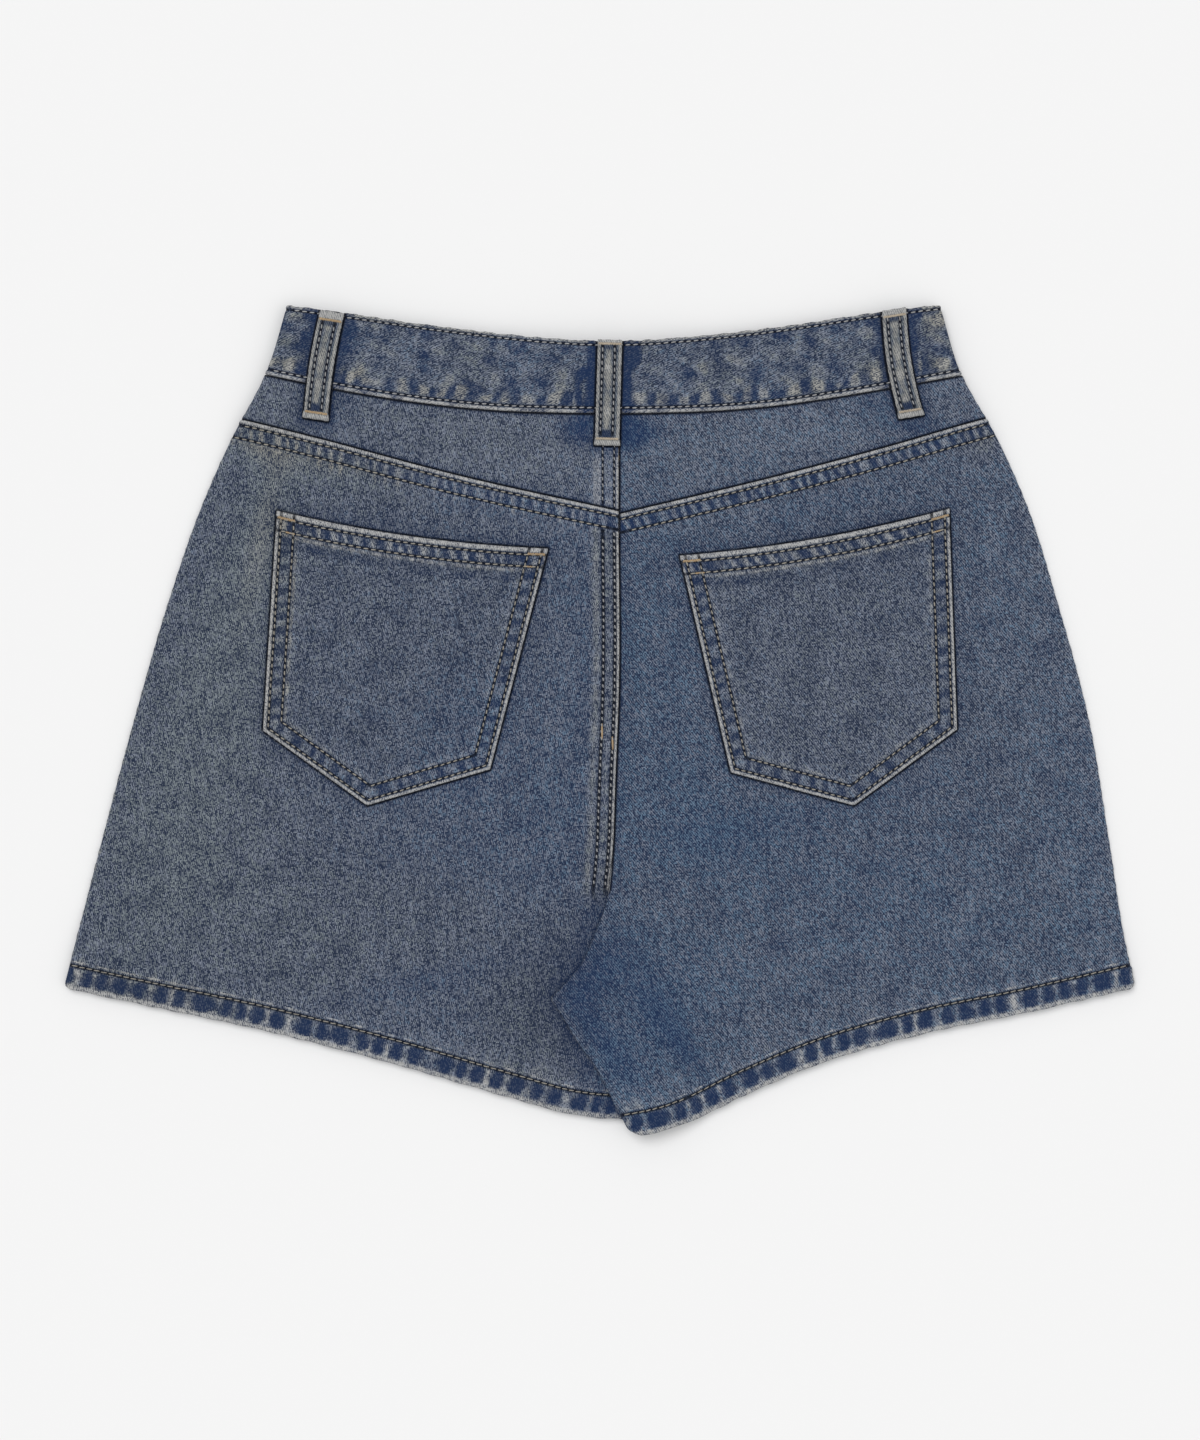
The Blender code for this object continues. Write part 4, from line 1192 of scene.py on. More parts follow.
def fly_seams():
    """The two curved rows of stitches that hold the fly, from the waist to the crotch seam."""
    x = FRONT_X - np.array((33.0, 34.0, 33.0, 26.0, 12.0, 0.0))
    y = np.array((148.0, 100.0, 55.0, 32.0, 17.0, 12.0))
    line = line_of(along({"x": x, "y": y}), 60)
    return Seam(line, 1, (0.0,)), Seam(Line(line.beside(line.runs, 6.2)), 1, (0.0,))


def front_wear(leg, x, y):
    wear = Wear(x, y)
    lines, seams = panel_seams(leg, front_waist(leg), False)
    seed = {"left": 7.0, "right": 8.6}[leg]
    faded = np.hypot((np.abs(x) - 120) / 70, (y + 30) / 130)
    wear.rub(0.22 * bump(faded, 1.0) + 0.08 * mottle(x, y, 10.0, 9))
    wear.darken(0.1 * mottle(x, y, 12.0, 8) + 0.05)
    wear.side(lines["side"], seed + 2)
    off, run = lines["top"].near(x, y)
    wear.streaks(off, run, 0.4, 11.0, seed, 0.2)
    # painted shadow under the waistband's edge
    wear.under(off, 1.2, 0.9)
    if leg == "left":
        for seam in fly_seams():
            off, run = seam.line.near(x, y)
            wear.rows(seam, off, run)
    wear.hem(seams["hem"], seed, 0.3)
    wear.rise *= 0.0  # lies flat on the table
    return wear


def make_legs(cloths):
    for leg in LEGS:
        outer, inner = leg_grids(leg, 1, YOKE_SEAM[leg], BACK_MESH)
        wear = back_wear(leg, outer[..., 0], outer[..., 1])
        node = "back_panel_" + leg
        cloths[node] = Cloth(node, outer, inner, wear)
    for leg, shift in (("left", fly_flap), ("right", zip_side)):
        outer, inner = leg_grids(leg, -1, front_waist(leg), FRONT_MESH, shift)
        wear = front_wear(leg, outer[..., 0], outer[..., 1])
        node = "front_panel_" + leg
        cloths[node] = Cloth(node, outer, inner, wear)


# ---- yokes


def side_edge(leg, start_y, end_y):
    """The side between two heights, by its share."""

    def edge(at):
        y = mix(start_y, end_y, at)
        return in_plan(side_x(leg, y), y)

    return edge


def yoke(leg):
    """The shaped piece between the waistband and the seat."""
    seam = YOKE_SEAM[leg]
    side_y = (waist_y("seam", side_x(leg, SIDE_SEAM_Y)), seam["y"][-1])
    centre_y = (waist_y("seam", CENTRE), seam["y"][0])

    outer_edge = side_edge(leg, *side_y)

    def inner_edge(at):
        y = mix(*centre_y, at)
        return in_plan(np.full_like(y, CENTRE), y)

    def top_edge(at):
        x = mix(CENTRE, side_x(leg, side_y[0]), at)
        return in_plan(x, waist_y("seam", x))

    place = patch(inner_edge, outer_edge, top_edge, along(seam))
    width = np.hypot(*(outer_edge(WIDTHS_AT) - inner_edge(WIDTHS_AT)).T)
    middle = np.linspace(0, 1, 105)[1:-1]
    from_top = list(EDGE_ROWS[:5])
    downs = np.linspace(0.06, 0.94, 34)
    from_foot = from_top[::-1]
    plan, _, _ = spacing(
        place, width, INNER_COLUMNS, middle, SIDE_COLUMNS, from_top, downs, from_foot
    )
    x, y = plan[..., 0], plan[..., 1]
    thick = np.full(x.shape, WALL)
    if leg == "left":
        thick = thick + RIDGE * (1 - ramp(np.abs(x - CENTRE), FELL, FELL + FELL_EDGE))
    low, high = front_low(leg, x, y), back_low(leg, x, y, AWAY_FROM_HEM) + thick
    plan[:, 0, 0] += SEAM_GAP / 2 * (1 if leg == "right" else -1)
    outer, inner = with_edges(plan, high, thick, (low, high), np.zeros(len(plan), bool), 1)
    for grid in (outer, inner):
        grid[0, :, 1] -= SEAM_GAP / 2
        grid[-1, :, 1] += SEAM_GAP / 2
    outer, inner = thinned(outer, inner, row_roundness(from_top, len(downs), from_foot))
    wear = yoke_wear(leg, outer[..., 0], outer[..., 1])
    return Cloth("yoke_" + leg, outer, inner, wear)


class Loop:
    """A belt loop's two ends, the length of the cap over its upper tack, and its bend sideways."""

    def __init__(self, row):
        self.top = np.array((row["top_x"], row["top_y"]))
        self.foot = np.array((row["foot_x"], row["foot_y"]))
        self.cap, self.bend = row["cap"], row["bend"]
        self.length = np.hypot(*(self.foot - self.top))
        self.down = unit(self.foot - self.top)
        self.across = np.array((-self.down[1], self.down[0]))

    def place(self, share, across=0.0):
        """The plan point at a share of the loop's length and a distance across it."""
        share, across = np.broadcast_arrays(np.asarray(share, float), across)
        across = across + self.bend * np.sin(np.pi * share)
        return mix(self.top, self.foot, share[..., None]) + self.across * across[..., None]

    def measure(self, x, y):
        """How far points lie across from its middle, and how far down from its top."""
        dx, dy = x - self.top[0], y - self.top[1]
        down = dx * self.down[0] + dy * self.down[1]
        bend = self.bend * np.sin(np.pi * np.clip(down / self.length, 0, 1))
        return dx * self.across[0] + dy * self.across[1] - bend, down

    def seam(self):
        """Its two rows of stitches, a little to one side."""
        line = Line(self.place(np.linspace(0, 1, 15)))
        rows = (-LOOP_ROW - LOOP_ASIDE, LOOP_ROW - LOOP_ASIDE)
        return Seam(line, 1, rows, SHORT_STITCH, self.cap, 4.2, 1.2)


def beside_loop(loop, x, y):
    """How far each point lies outside a loop's outline."""
    across, down = loop.measure(x, y)
    across = np.abs(across)
    past_end = np.maximum(-down, down - loop.length)
    out = np.hypot(np.maximum(across - LOOP_WIDTH / 2, 0), np.maximum(past_end, 0))
    return np.where(out > 0, out, np.maximum(across - LOOP_WIDTH / 2, past_end))


def yoke_seat():
    """The yoke's end of the seat seam."""
    line = Line([(CENTRE, 168.0), (CENTRE, 140.0), (CENTRE, 108.0)])
    return Seam(line, -1, SEAT_ROWS, SHORT_STITCH, 7.0, 3.0, 0.9)


def yoke_wear(leg, x, y):
    wear = Wear(x, y)
    wear.wash(13)
    if leg == "left":
        seat = Wear(x, y)
        off, _ = seat.seam(yoke_seat(), 6.0, 8.2, 0.1, pale=0.6, dark=0.15, beyond=0.0)
        seat.rub(0.42 * between(off, SEAT_ROWS[0] + 0.8, SEAT_ROWS[1] - 0.8, 0.6))
        seat.rub(0.65 * between(off, SEAT_ROWS[1] + 0.6, FELL + 2.0, 0.8))
        wear.blend_in(seat, 1 - ramp(off, FELL + 2.0, FELL + 4.5))
    else:
        # painted shadow beside the left yoke's folded edge, which lies over this one
        wear.under(np.abs(x - CENTRE), 1.2, 0.95)
    off, _ = line_of(along(YOKE_SEAM[leg])).near(x, y)
    # painted shadow under the back panel's felled edge
    wear.under(off, 1.6, 0.95)
    wear.shade(off, 7.0, 0.25)
    off = below_waist(x, y)
    # painted shadow under the waistband's edge
    wear.under(off, 1.2, 0.95)
    wear.shade(off, 4.0, 0.25)
    wear.streaks(off, x, 1.5, 12.0, 3.3, 0.2, 0.3)
    for row in rows_of(LOOPS):
        off = np.maximum(beside_loop(Loop(row), x, y), 0.0)
        # painted shadow beside each loop
        wear.under(off, 4.2, 0.95)
        wear.worn *= 1 - 0.8 * np.exp(-off / 4.0)
    wear.side(line_of(side_edge(leg, SIDE_SEAM_Y, 156.0)), 3.0)
    return wear


# ---- waistband

BAND_TURN = np.radians(np.linspace(-90, 90, 13))  # the lines round a side fold, by angle
BAND_HEIGHT = 38.5
BAND_ENDS = (-178.0, 192.0)


def band_shares():
    """Shares of the waistband's height, close together at its edges and rows of stitches."""
    near = np.concatenate([EDGE_ROWS[:5], steps(1.5, 5.1, 0.6)])
    middle = steps(6.2, BAND_HEIGHT - 6.2, 1.1)
    return np.concatenate([near, middle, BAND_HEIGHT - near[::-1]]) / BAND_HEIGHT


def band_point(x, height, front):
    """y on the waistband at a share of its height."""
    low = waist_y("seam", x) + SEAM_GAP / 2
    return mix(low, waist_y("top", x), height) - front_dip(x) * front


def band_station(x, front, face, back, heights):
    """One line across the waistband: its outer and inner points."""
    plan = in_plan(x + 0 * heights, band_point(x, heights, front))
    return with_height(plan, face + 0 * heights), with_height(plan, back + 0 * heights)


def band_fold(edge, inward, turn, heights):
    """The waistband's lines round a side fold."""
    high = band_low_back(edge) + FOLDED
    middle, radius = (high + BAND_LOW) / 2, (high - BAND_LOW) / 2
    for angle in turn:
        points = []
        for reach in (radius, radius - FOLDED):
            x = edge + inward * (radius - reach * math.cos(angle))
            plan = in_plan(x, band_point(x, heights, 0.0))
            points.append(with_height(plan, middle + reach * math.sin(angle)))
        yield points


def waistband():
    """One strip from the inner buttoned end, round the back, to the outer end."""
    heights = band_shares()
    side_y = mix(SIDE_SEAM_Y, SIDE_TOP_Y, heights)
    left, right = side_x("left", side_y), side_x("right", side_y)
    radius = (band_low_back(right) + FOLDED - BAND_LOW) / 2
    left_in, right_in = left + radius, right - radius
    stations = []
    for share in np.linspace(0, 1, 80)[:-1]:
        x = mix(FRONT_X - UNDERLAP, right_in, share)
        face = band_low_front(x, 1.0)
        stations.append(band_station(x, 1.0, face, face + FOLDED, heights))
    stations.extend(band_fold(right, -1, BAND_TURN, heights))
    for share in np.linspace(0, 1, 300)[1:-1]:
        x = mix(right_in, left_in, share)
        back = band_low_back(x)
        stations.append(band_station(x, 0.0, back + FOLDED, back, heights))
    stations.extend(band_fold(left, 1, BAND_TURN[::-1], heights))
    for share in np.linspace(0, 1, 75)[1:]:
        x = mix(left_in, FRONT_X + OVERLAP, share)
        face = band_low_front(x, 0.0)
        stations.append(band_station(x, 1.0, face, face + FOLDED, heights))
    outer, inner = (np.stack(side, axis=1) for side in zip(*stations))
    for grid in (outer, inner):
        x = grid[0, :, 0]
        ragged = 0.3 * uneven(x, 13.0, 4.0) + 0.15 * uneven(x, 5.2, 1.0)
        grid[..., 1] += ragged * ramp(heights, 0.86, 1.0)[:, None]
    height = np.abs(outer[-1, :, 1] - outer[0, :, 1])[None, :]
    off_foot = heights[:, None] * height
    off_top = height - off_foot
    outer, inner = thinned(outer, inner, roundness(np.minimum(off_foot, off_top)[:, 150]))
    middle = outer[len(heights) // 2]
    run = np.concatenate([[0], np.cumsum(np.linalg.norm(np.diff(middle, axis=0), axis=-1))])
    back = outer[..., 2] > BAND_LOW + FOLDED
    wear = band_wear(outer[..., 0], outer[..., 1], back, off_foot, off_top, run + 0 * off_foot)
    return Cloth("waistband", outer, inner, wear)


def band_seams(front):
    """The waistband's foot and top, each with its row of stitches."""
    x = np.linspace(*BAND_ENDS, 160)
    foot = waist_y("seam", x) + SEAM_GAP / 2 - front_dip(x) * front
    top = waist_y("top", x) - front_dip(x) * front
    return (
        Seam(Line(in_plan(x, foot)), 1, (BAND_FOOT_ROW,), STITCH, 3.0, 3.0, 1.2),
        Seam(Line(in_plan(x, top)), -1, (BAND_TOP_ROW,), STITCH, 14.0, 13.0, 0.95),
    )


def band_wear(x, y, back, off_foot, off_top, run):
    wear = Wear(x, y)
    patches = mottle(x, y, 5.0, 21) + 0.7 * mottle(x, y, 12.0, 22)
    wear.rub(0.45 * ramp(patches, -0.2, 1.7))
    wear.darken(0.7 * ramp(-patches, 0.1, 1.9))
    notch = uneven(run + 0.15 * off_foot, 11.4, 2.6) + 0.22 * mottle(x, y, 4.0, 24)
    low = between(off_foot, BAND_FOOT_ROW + 0.8, 10.0 + 2.5 * uneven(run, 31.0, 1.0), 1.6)
    dark = ramp(-notch, 0.0, 0.6)
    wear.worn *= 1 - 0.8 * low * dark
    wear.rub(0.62 * low * ramp(notch, -0.5, 0.4))
    wear.darken(0.8 * low * dark)
    wear.rise += 0.28 * low * notch
    upper = between(off_top, BAND_TOP_ROW + 0.6, 8.0, 1.6)
    wear.rub(0.3 * upper * ramp(uneven(run, 11.0, 5.2), 0.0, 0.9))
    wear.darken(0.5 * upper * ramp(-uneven(run, 11.0, 5.2), 0.2, 0.9))
    wear.spots(BAND_SPOTS, back)
    for row in rows_of(LOOPS):
        beside = np.maximum(beside_loop(Loop(row), x, y), 0.0)
        centre = abs(row["top_x"]) < 20
        ragged = beside - 2.0 - 2.0 * centre - 6.0 * ramp(mottle(x, y, 6.0, 31), -0.4, 1.2)
        dark = back * (1 - ramp(ragged, 0.0, 3.0))
        wear.worn *= 1 - 0.9 * dark
        wear.darken((0.8 + 0.2 * centre) * dark)
        # painted shadow on the band beside each loop
        wear.under(np.where(back, beside, BARE), 1.6, back)
    wear.piping(off_foot, run, BAND_FOOT_ROW, 3.1)
    wear.piping(off_top, run, BAND_TOP_ROW, 3.8, 0.85)
    for seam, hidden in zip(band_seams(0.0), band_seams(1.0)):
        seen, unseen = seam.line.near(x, y), hidden.line.near(x, y)
        wear.rows(seam, np.where(back, seen[0], unseen[0]), np.where(back, seen[1], unseen[1]))
    bluer = 0.25 * mottle(x, y, 20.0, 23) + 0.3 * wear.deep
    wear.blue += bluer - 0.8 * wear.worn * (off_foot > BAND_FOOT_ROW)
    wear.rise *= np.where(back, 1.0, 0.4)
    return wear


# ---- pockets


def pocket(leg):
    """A five-sided patch with a hemmed mouth, laid on the back panel."""
    points = in_plan(*POCKET[leg].values())
    mouth_left, mouth_right, low_right, tip, low_left = points

    def foot(at):
        share = at[..., None] * 2
        return np.where(share < 1, mix(low_left, tip, share), mix(tip, low_right, share - 1))

    def left_side(at):
        return mix(mouth_left, low_left, at[..., None])

    def right_side(at):
        return mix(mouth_right, low_right, at[..., None])

    place = patch(left_side, right_side, pocket_mouth(mouth_left, mouth_right), foot)
    width = np.hypot(*(right_side(WIDTHS_AT) - left_side(WIDTHS_AT)).T)
    near = list(EDGE_ROWS[:5]) + list(steps(1.5, 14.0, 0.7))
    middle = np.linspace(0, 1, 74)[1:-1]
    downs = np.linspace(0.13, 0.88, 70)
    plan, from_mouth, _ = spacing(place, width, near, middle, near[::-1], near, downs, near[::-1])
    x, y = plan[..., 0], plan[..., 1]
    under = back_top(x, y) + SEAM_GAP
    _, bag = pocket_seams(leg)
    off, _ = bag.line.near(x, y)
    share = roundness(np.minimum(off, from_mouth))
    hem = (FOLDED - WALL) * (1 - ramp(from_mouth, POCKET_HEM, POCKET_HEM + HEM_SLOPE))
    turned_in = 0.5 * (1 - ramp(off, 11.0, 12.5)) * (from_mouth > POCKET_HEM)
    thick = WALL + np.maximum(hem, turned_in)
    outer, inner = with_height(plan, under + thick * (0.4 + 0.6 * share)), with_height(plan, under)
    wear = pocket_wear(leg, x, y)
    return Cloth("pocket_" + leg, outer, inner, wear)


def pocket_wear(leg, x, y):
    wear = Wear(x, y)
    seed = {"left": 2.0, "right": 5.7}[leg]
    mouth, bag = pocket_seams(leg)
    wear.wash(41, 0.06)
    wear.blue -= 0.25
    mouth_off, mouth_run = mouth.line.near(x, y)
    off, run = bag.line.near(x, y)
    patches = 0.7 + 0.5 * mottle(x, y, 7.0, 44)
    # a darker band below the mouth's hem: unworn cloth, and painted shade under the hem's edge
    band = 0.6 * between(mouth_off, 14.0, 18.5, 2.2) * patches * (off > 2.4)
    wear.worn *= 1 - band
    wear.darken(band)
    sides = Wear(x, y)
    sides.seam(bag, seed, 8.6, 0.2, pale=0.34, dark=0.72, beyond=0.6)
    ridge = 0.62 * bump(off - POCKET_ROWS[1] - 1.8, 1.3)
    sides.rub(ridge * (0.8 + 0.3 * uneven(run, 13.0, seed + 2)))
    wear.blend_in(sides, ramp(mouth_off, 10.5, 12.0) * (1 - ramp(off, 13.5, 17.0)))
    hem = Wear(x, y)
    hem.seam(mouth, seed + 1, 7.0, {"left": -0.33, "right": -0.6}[leg], beyond=0.2)
    ridge = 0.8 * bump(mouth_off - MOUTH_ROWS[1] - 2.2, 1.6)
    hem.rub(ridge * (0.8 + 0.3 * uneven(mouth_run, 6.0, seed)))
    wear.blend_in(hem, 1 - ramp(mouth_off, 12.9, 14.8))
    from_corner = np.minimum(mouth_run, mouth.line.runs[-1] - mouth_run)
    unworn = bump(from_corner - 14.0, 7.0) * between(mouth_off, 4.4, 8.0, 0.7)
    unworn = unworn + bump(from_corner - 7.0, 8.0) * between(mouth_off, 12.5, 17.5, 2.0)
    unworn = np.clip(unworn * (0.9 + 0.3 * mottle(x, y, 4.0, 45)), 0, 1) * ramp(off, 2.2, 3.2)
    wear.worn *= 1 - 0.9 * unworn
    wear.darken(0.9 * unworn)
    wear.rub(0.5 * between(from_corner, 2.5, 8.0, 1.2) * between(mouth_off, 4.4, 9.4, 0.8))
    wear.rub(0.9 * (1 - ramp(off, 0.9, 1.9)))
    near = (1 - ramp(off, POCKET_ROWS[1] + 0.9, POCKET_ROWS[1] + 1.2)) * (mouth_off < 11.5)
    wear.seams.append((bag, off, run, near))
    return wear


# ---- belt loops

LOOP_LENGTH = 56.0
LOOP_SHARES = np.concatenate(
    [[0, 0.004, 0.012, 0.022], np.linspace(0.035, 0.965, 70), [0.978, 0.988, 0.996, 1]]
)
LOOP_ACROSS = np.concatenate(
    [[-6.5, -6.38, -6.1, -5.7], np.linspace(-5.2, 5.2, 21), [5.7, 6.1, 6.38, 6.5]]
)


def loop_grid(loop):
    """Plan points of a loop, rows down its length and columns across it, wider at its foot."""
    wide = 0.98 + 0.08 * ramp(LOOP_SHARES, 0.93, 0.96)
    wide = wide + 0.02 * uneven(LOOP_SHARES * loop.length, 5.0, loop.top[0])
    return loop.place(LOOP_SHARES[:, None], wide[:, None] * LOOP_ACROSS)


def loop_thick():
    """More at the ends, where the loop is turned under, and round at its rim."""
    ends = np.minimum(LOOP_SHARES, 1 - LOOP_SHARES)
    turned_under = 1 - ramp(ends, 0.09, 0.13)
    off_side = LOOP_WIDTH / 2 - np.abs(LOOP_ACROSS)[None, :]
    rim = roundness(np.minimum(off_side, LOOP_LENGTH * ends[:, None]))
    return (LOOP_THICK + LOOP_FOLD * turned_under)[:, None] * (0.45 + 0.55 * rim)


def loop_bow():
    return LOOP_BOW * np.sin(np.pi * LOOP_SHARES)[:, None] ** 0.7


def loop_wear(loop, x, y):
    wear = Wear(x, y)
    across, down = loop.measure(x, y)
    off = LOOP_WIDTH / 2 - np.abs(across)
    from_foot = loop.length - down
    seed = loop.top[0] / 40.0
    middle = bump(across + LOOP_ASIDE, 2.1)
    wear.rub(0.24 + 0.36 * middle + 0.16 * uneven(down, 17.0, seed) + 0.08 * mottle(x, y, 3.0, 51))
    inside = 1 - ramp(np.abs(across + LOOP_ASIDE), 2.2, 3.0)
    near_foot = 0.95 * between(from_foot, 4.0, 8.0, 1.2)
    near_cap = 0.6 * between(down, loop.cap, loop.cap + 3.0, 1.0)
    navy = inside * (near_foot + near_cap)
    wear.worn *= 1 - navy
    wear.darken(navy)
    wear.piping(off, down, 2.5, seed, 0.82)
    wear.rub(0.85 * (1 - ramp(from_foot, 2.2, 3.4)))
    wear.rub(0.85 * (1 - ramp(down, loop.cap - 0.9, loop.cap + 0.1)))
    wear.rise += 0.25 * middle
    wear.blue -= 0.8
    sewn = ramp(from_foot, 4.0, 4.6) * ramp(down, loop.cap, loop.cap + 0.4)
    wear.rows(loop.seam(), across, down, sewn)
    return wear


def make_loops(cloths):
    for name, row in zip(LOOP_NAMES, rows_of(LOOPS)):
        loop = Loop(row)
        plan = loop_grid(loop)
        x, y = plan[..., 0], plan[..., 1]
        on_band = 1 - ramp(below_waist(x, y), 0.0, 7.0)
        rest = np.maximum(back_top(x, y) + RIDGE, (band_low_back(x) + FOLDED) * on_band)
        under = rest.max(axis=1, keepdims=True) + SEAM_GAP + loop_bow() + 0 * x
        outer, inner = with_height(plan, under + loop_thick()), with_height(plan, under)
        node = "belt_loop_" + name
        cloths[node] = Cloth(node, outer, inner, loop_wear(loop, x, y))
    for name, row in zip(FRONT_LOOP_NAMES, rows_of(FRONT_LOOPS)):
        loop = Loop(row)
        plan = loop_grid(loop)
        over = BAND_LOW - SEAM_GAP - loop_bow() + 0 * plan[..., 0]
        face = np.maximum(over - loop_thick(), 0.0)
        wear = loop_wear(loop, plan[..., 0], plan[..., 1])
        wear.rise *= 0.0
        node = "belt_loop_" + name
        cloths[node] = Cloth(node, with_height(plan, face), with_height(plan, over), wear)


# ---- sewing

RING = 6  # sides of a thread
# Where along a stitch it has its rings of points, and how wide they are
STITCH_AT = np.array((-1.0, -0.8, -0.35, 0.35, 0.8, 1.0))
STITCH_RADIUS = np.array((0.4, 0.82, 1.0, 1.0, 0.82, 0.4))
STITCH_LIFT = 0.16  # the middle of a stitch over the cloth
STITCH_SINK = 0.3  # and its ends in their holes
UNEVEN = 0.06  # how far stitches stray sideways
STEEP = 0.9  # a stitch that would climb more than this has left the cloth, and isn't made
TACK_THREAD = 0.3  # half the width of a bar tack's thread


class Sewing:
    """Stitches that are gathered into one mesh."""

    def __init__(self, cloth, up=1):
        self.cloth, self.up = cloth, up
        self.points, self.faces, self.count = [], [], 0
        self.draw = np.random.default_rng(len(cloth.node))

    def seam(self, seam, share=0.68, width=THREAD, skew=0.12):
        """All of a seam's rows."""
        for row in seam.rows:
            self.stitches(*seam.stitches(row, share), width, skew)

    def stitches(self, start, end, width=THREAD, skew=0.0):
        """Single stitches between the start points and the end points, slanted by the skew."""
        way = unit(end - start + 1e-9)
        left = in_plan(-way[:, 1], way[:, 0])
        stray = self.draw.normal(0, UNEVEN, (len(start), 1))
        start, end = start + left * (stray - skew), end + left * (stray + skew)
        three = (start, (start + end) / 2, end)
        heights = np.array([self.cloth.height(places, self.up) for places in three])
        on_cloth = np.nan_to_num(np.ptp(heights, axis=0), nan=10 * STEEP) < STEEP
        start, end, left = start[on_cloth], end[on_cloth], left[on_cloth]
        first, middle, last = heights[:, on_cloth]
        t = STITCH_AT[None, :]
        bend = middle - (first + last) / 2
        level = mix(first[:, None], last[:, None], (t + 1) / 2) + bend[:, None] * (1 - t**2)
        lift_up = mix(-STITCH_SINK, STITCH_LIFT, np.clip(1 - t**4, 0, 1))
        spine = mix(start[:, None], end[:, None], (t[..., None] + 1) / 2)
        angle = 2 * np.pi * np.arange(RING) / RING
        radius = width * STITCH_RADIUS[None, :, None]
        side = left[:, None, None, :] * (radius * np.cos(angle))[..., None]
        plan = spine[:, :, None, :] + side
        height = (level + self.up * lift_up)[:, :, None] + radius * np.sin(angle) * 0.9
        points = with_height(plan, height)
        number, rings = points.shape[:2]
        index = np.arange(number * rings * RING).reshape(number, rings, RING) + self.count
        after = np.roll(index, -1, axis=2)
        sides = quads(index[:, :-1], after[:, :-1], after[:, 1:], index[:, 1:])
        self.faces += sides.tolist()
        self.faces += index[:, 0, ::-1].tolist() + index[:, -1].tolist()
        self.points.append(points.reshape(-1, 3))
        self.count += points.reshape(-1, 3).shape[0]

    def tack(self, start, end, width, step):
        """A bar tack: a close zigzag over a straight run."""
        start, end = np.asarray(start, float), np.asarray(end, float)
        length = np.linalg.norm(end - start)
        way = (end - start) / length
        left = np.array((-way[1], way[0]))
        number = int(length / step)
        turns = np.linspace(0, 1, number + 1)
        sides = np.where(np.arange(number + 1) % 2, 1, -1)[:, None]
        zigzag = mix(start, end, turns[:, None]) + left * width / 2 * sides
        self.stitches(zigzag[:-1], zigzag[1:], TACK_THREAD)

    def finish(self, name, material):
        points = np.concatenate(self.points)
        if self.up < 0:
            points[:, 2] = np.maximum(points[:, 2], 0.01)
        return new_piece(name, new_mesh(name, points, self.faces), material, "thread")


def sew_backs(cloths, thread, grey, gold):
    made = {}
    for leg in LEGS:
        sewing = Sewing(cloths["back_panel_" + leg])
        _, seams = panel_seams(leg, YOKE_SEAM[leg], True)
        sewing.seam(seams["top"])
        sewing.seam(seams["hem"], 0.86, 0.28)
        made["back_panel_" + leg] = [sewing.finish("stitching_back_panel_" + leg, thread)]
        if leg == "left":
            sewing = Sewing(cloths["back_panel_left"])
            sewing.seam(seams["seat"], 0.56, 0.36, 0.2)
            made["back_panel_left"].append(sewing.finish("stitching_seat_left", grey))
    # the thread was joined here, with two long stitches over the others
    again = Sewing(cloths["back_panel_left"])
    starts, ends = np.array((((1.1, -1.5), (6.6, -8.5)), ((1.2, -10.5), (6.9, -16.0))))
    again.stitches(starts, ends, 0.5)
    made["back_panel_left"].append(again.finish("thread_join_seat", gold))
    sewing = Sewing(cloths["yoke_left"])
    sewing.seam(yoke_seat(), 0.6, 0.28, 0.2)
    made["yoke_left"] = [sewing.finish("stitching_yoke_left", grey)]
    return made


def sew_pockets(cloths, thread, gold):
    made = {}
    for leg in LEGS:
        node = "pocket_" + leg
        mouth, bag = pocket_seams(leg)
        sewing = Sewing(cloths[node])
        sewing.seam(bag)
        sewing.seam(mouth)
        made[node] = [sewing.finish("stitching_" + node, thread)]
        tacks = Sewing(cloths[node])
        total = mouth.line.runs[-1]
        for start, end, row, wide in (
            (1.4, 10.6, MOUTH_ROWS[0] - 0.4, 1.5),
            (total - 10.6, total - 1.4, MOUTH_ROWS[0] - 0.4, 1.5),
            (7.4, 12.0, MOUTH_ROWS[1], 0.9),
            (total - 12.0, total - 7.4, MOUTH_ROWS[1], 0.9),
        ):
            tacks.tack(*mouth.line.beside(np.array((start, end)), -row), wide, 0.45)
        made[node].append(tacks.finish("bar_tacks_" + node, gold))
    return made


def sew_waistband(cloths, thread):
    names = []
    for name, front in (("stitching_waistband", 0.0), ("stitching_waistband_front", 1.0)):
        sewing = Sewing(cloths["waistband"], -1 if front else 1)
        for seam in band_seams(front):
            sewing.seam(seam)
        names.append(sewing.finish(name, thread))
    return {"waistband": names}


def sew_loops(cloths, thread, pale, gold):
    made = {}
    rows = rows_of(LOOPS) + rows_of(FRONT_LOOPS)
    for name, row in zip(LOOP_NAMES + FRONT_LOOP_NAMES, rows):
        node = "belt_loop_" + name
        up = -1 if name.startswith("front") else 1
        loop = Loop(row)
        sewing = Sewing(cloths[node], up)
        sewing.seam(loop.seam(), 0.7, 0.32)
        made[node] = [sewing.finish("stitching_" + node, thread)]
        tacks = Sewing(cloths[node], up)
        for down in (loop.cap, loop.length - 3.4):
            tacks.tack(*loop.place(down / loop.length, np.array((-5.9, 5.9))), 1.4, 0.42)
        made[node].append(tacks.finish("bar_tacks_" + node, gold if name == "back_left" else pale))
    return made


def sew_fronts(cloths, thread):
    made = {}
    for leg in LEGS:
        sewing = Sewing(cloths["front_panel_" + leg], -1)
        _, seams = panel_seams(leg, front_waist(leg), False)
        sewing.seam(seams["hem"])
        if leg == "left":
            for seam in fly_seams():
                sewing.seam(seam)
        made["front_panel_" + leg] = [sewing.finish("stitching_front_panel_" + leg, thread)]
    return made


# ---- zip, slider and button


LATHE_SIDES = 64
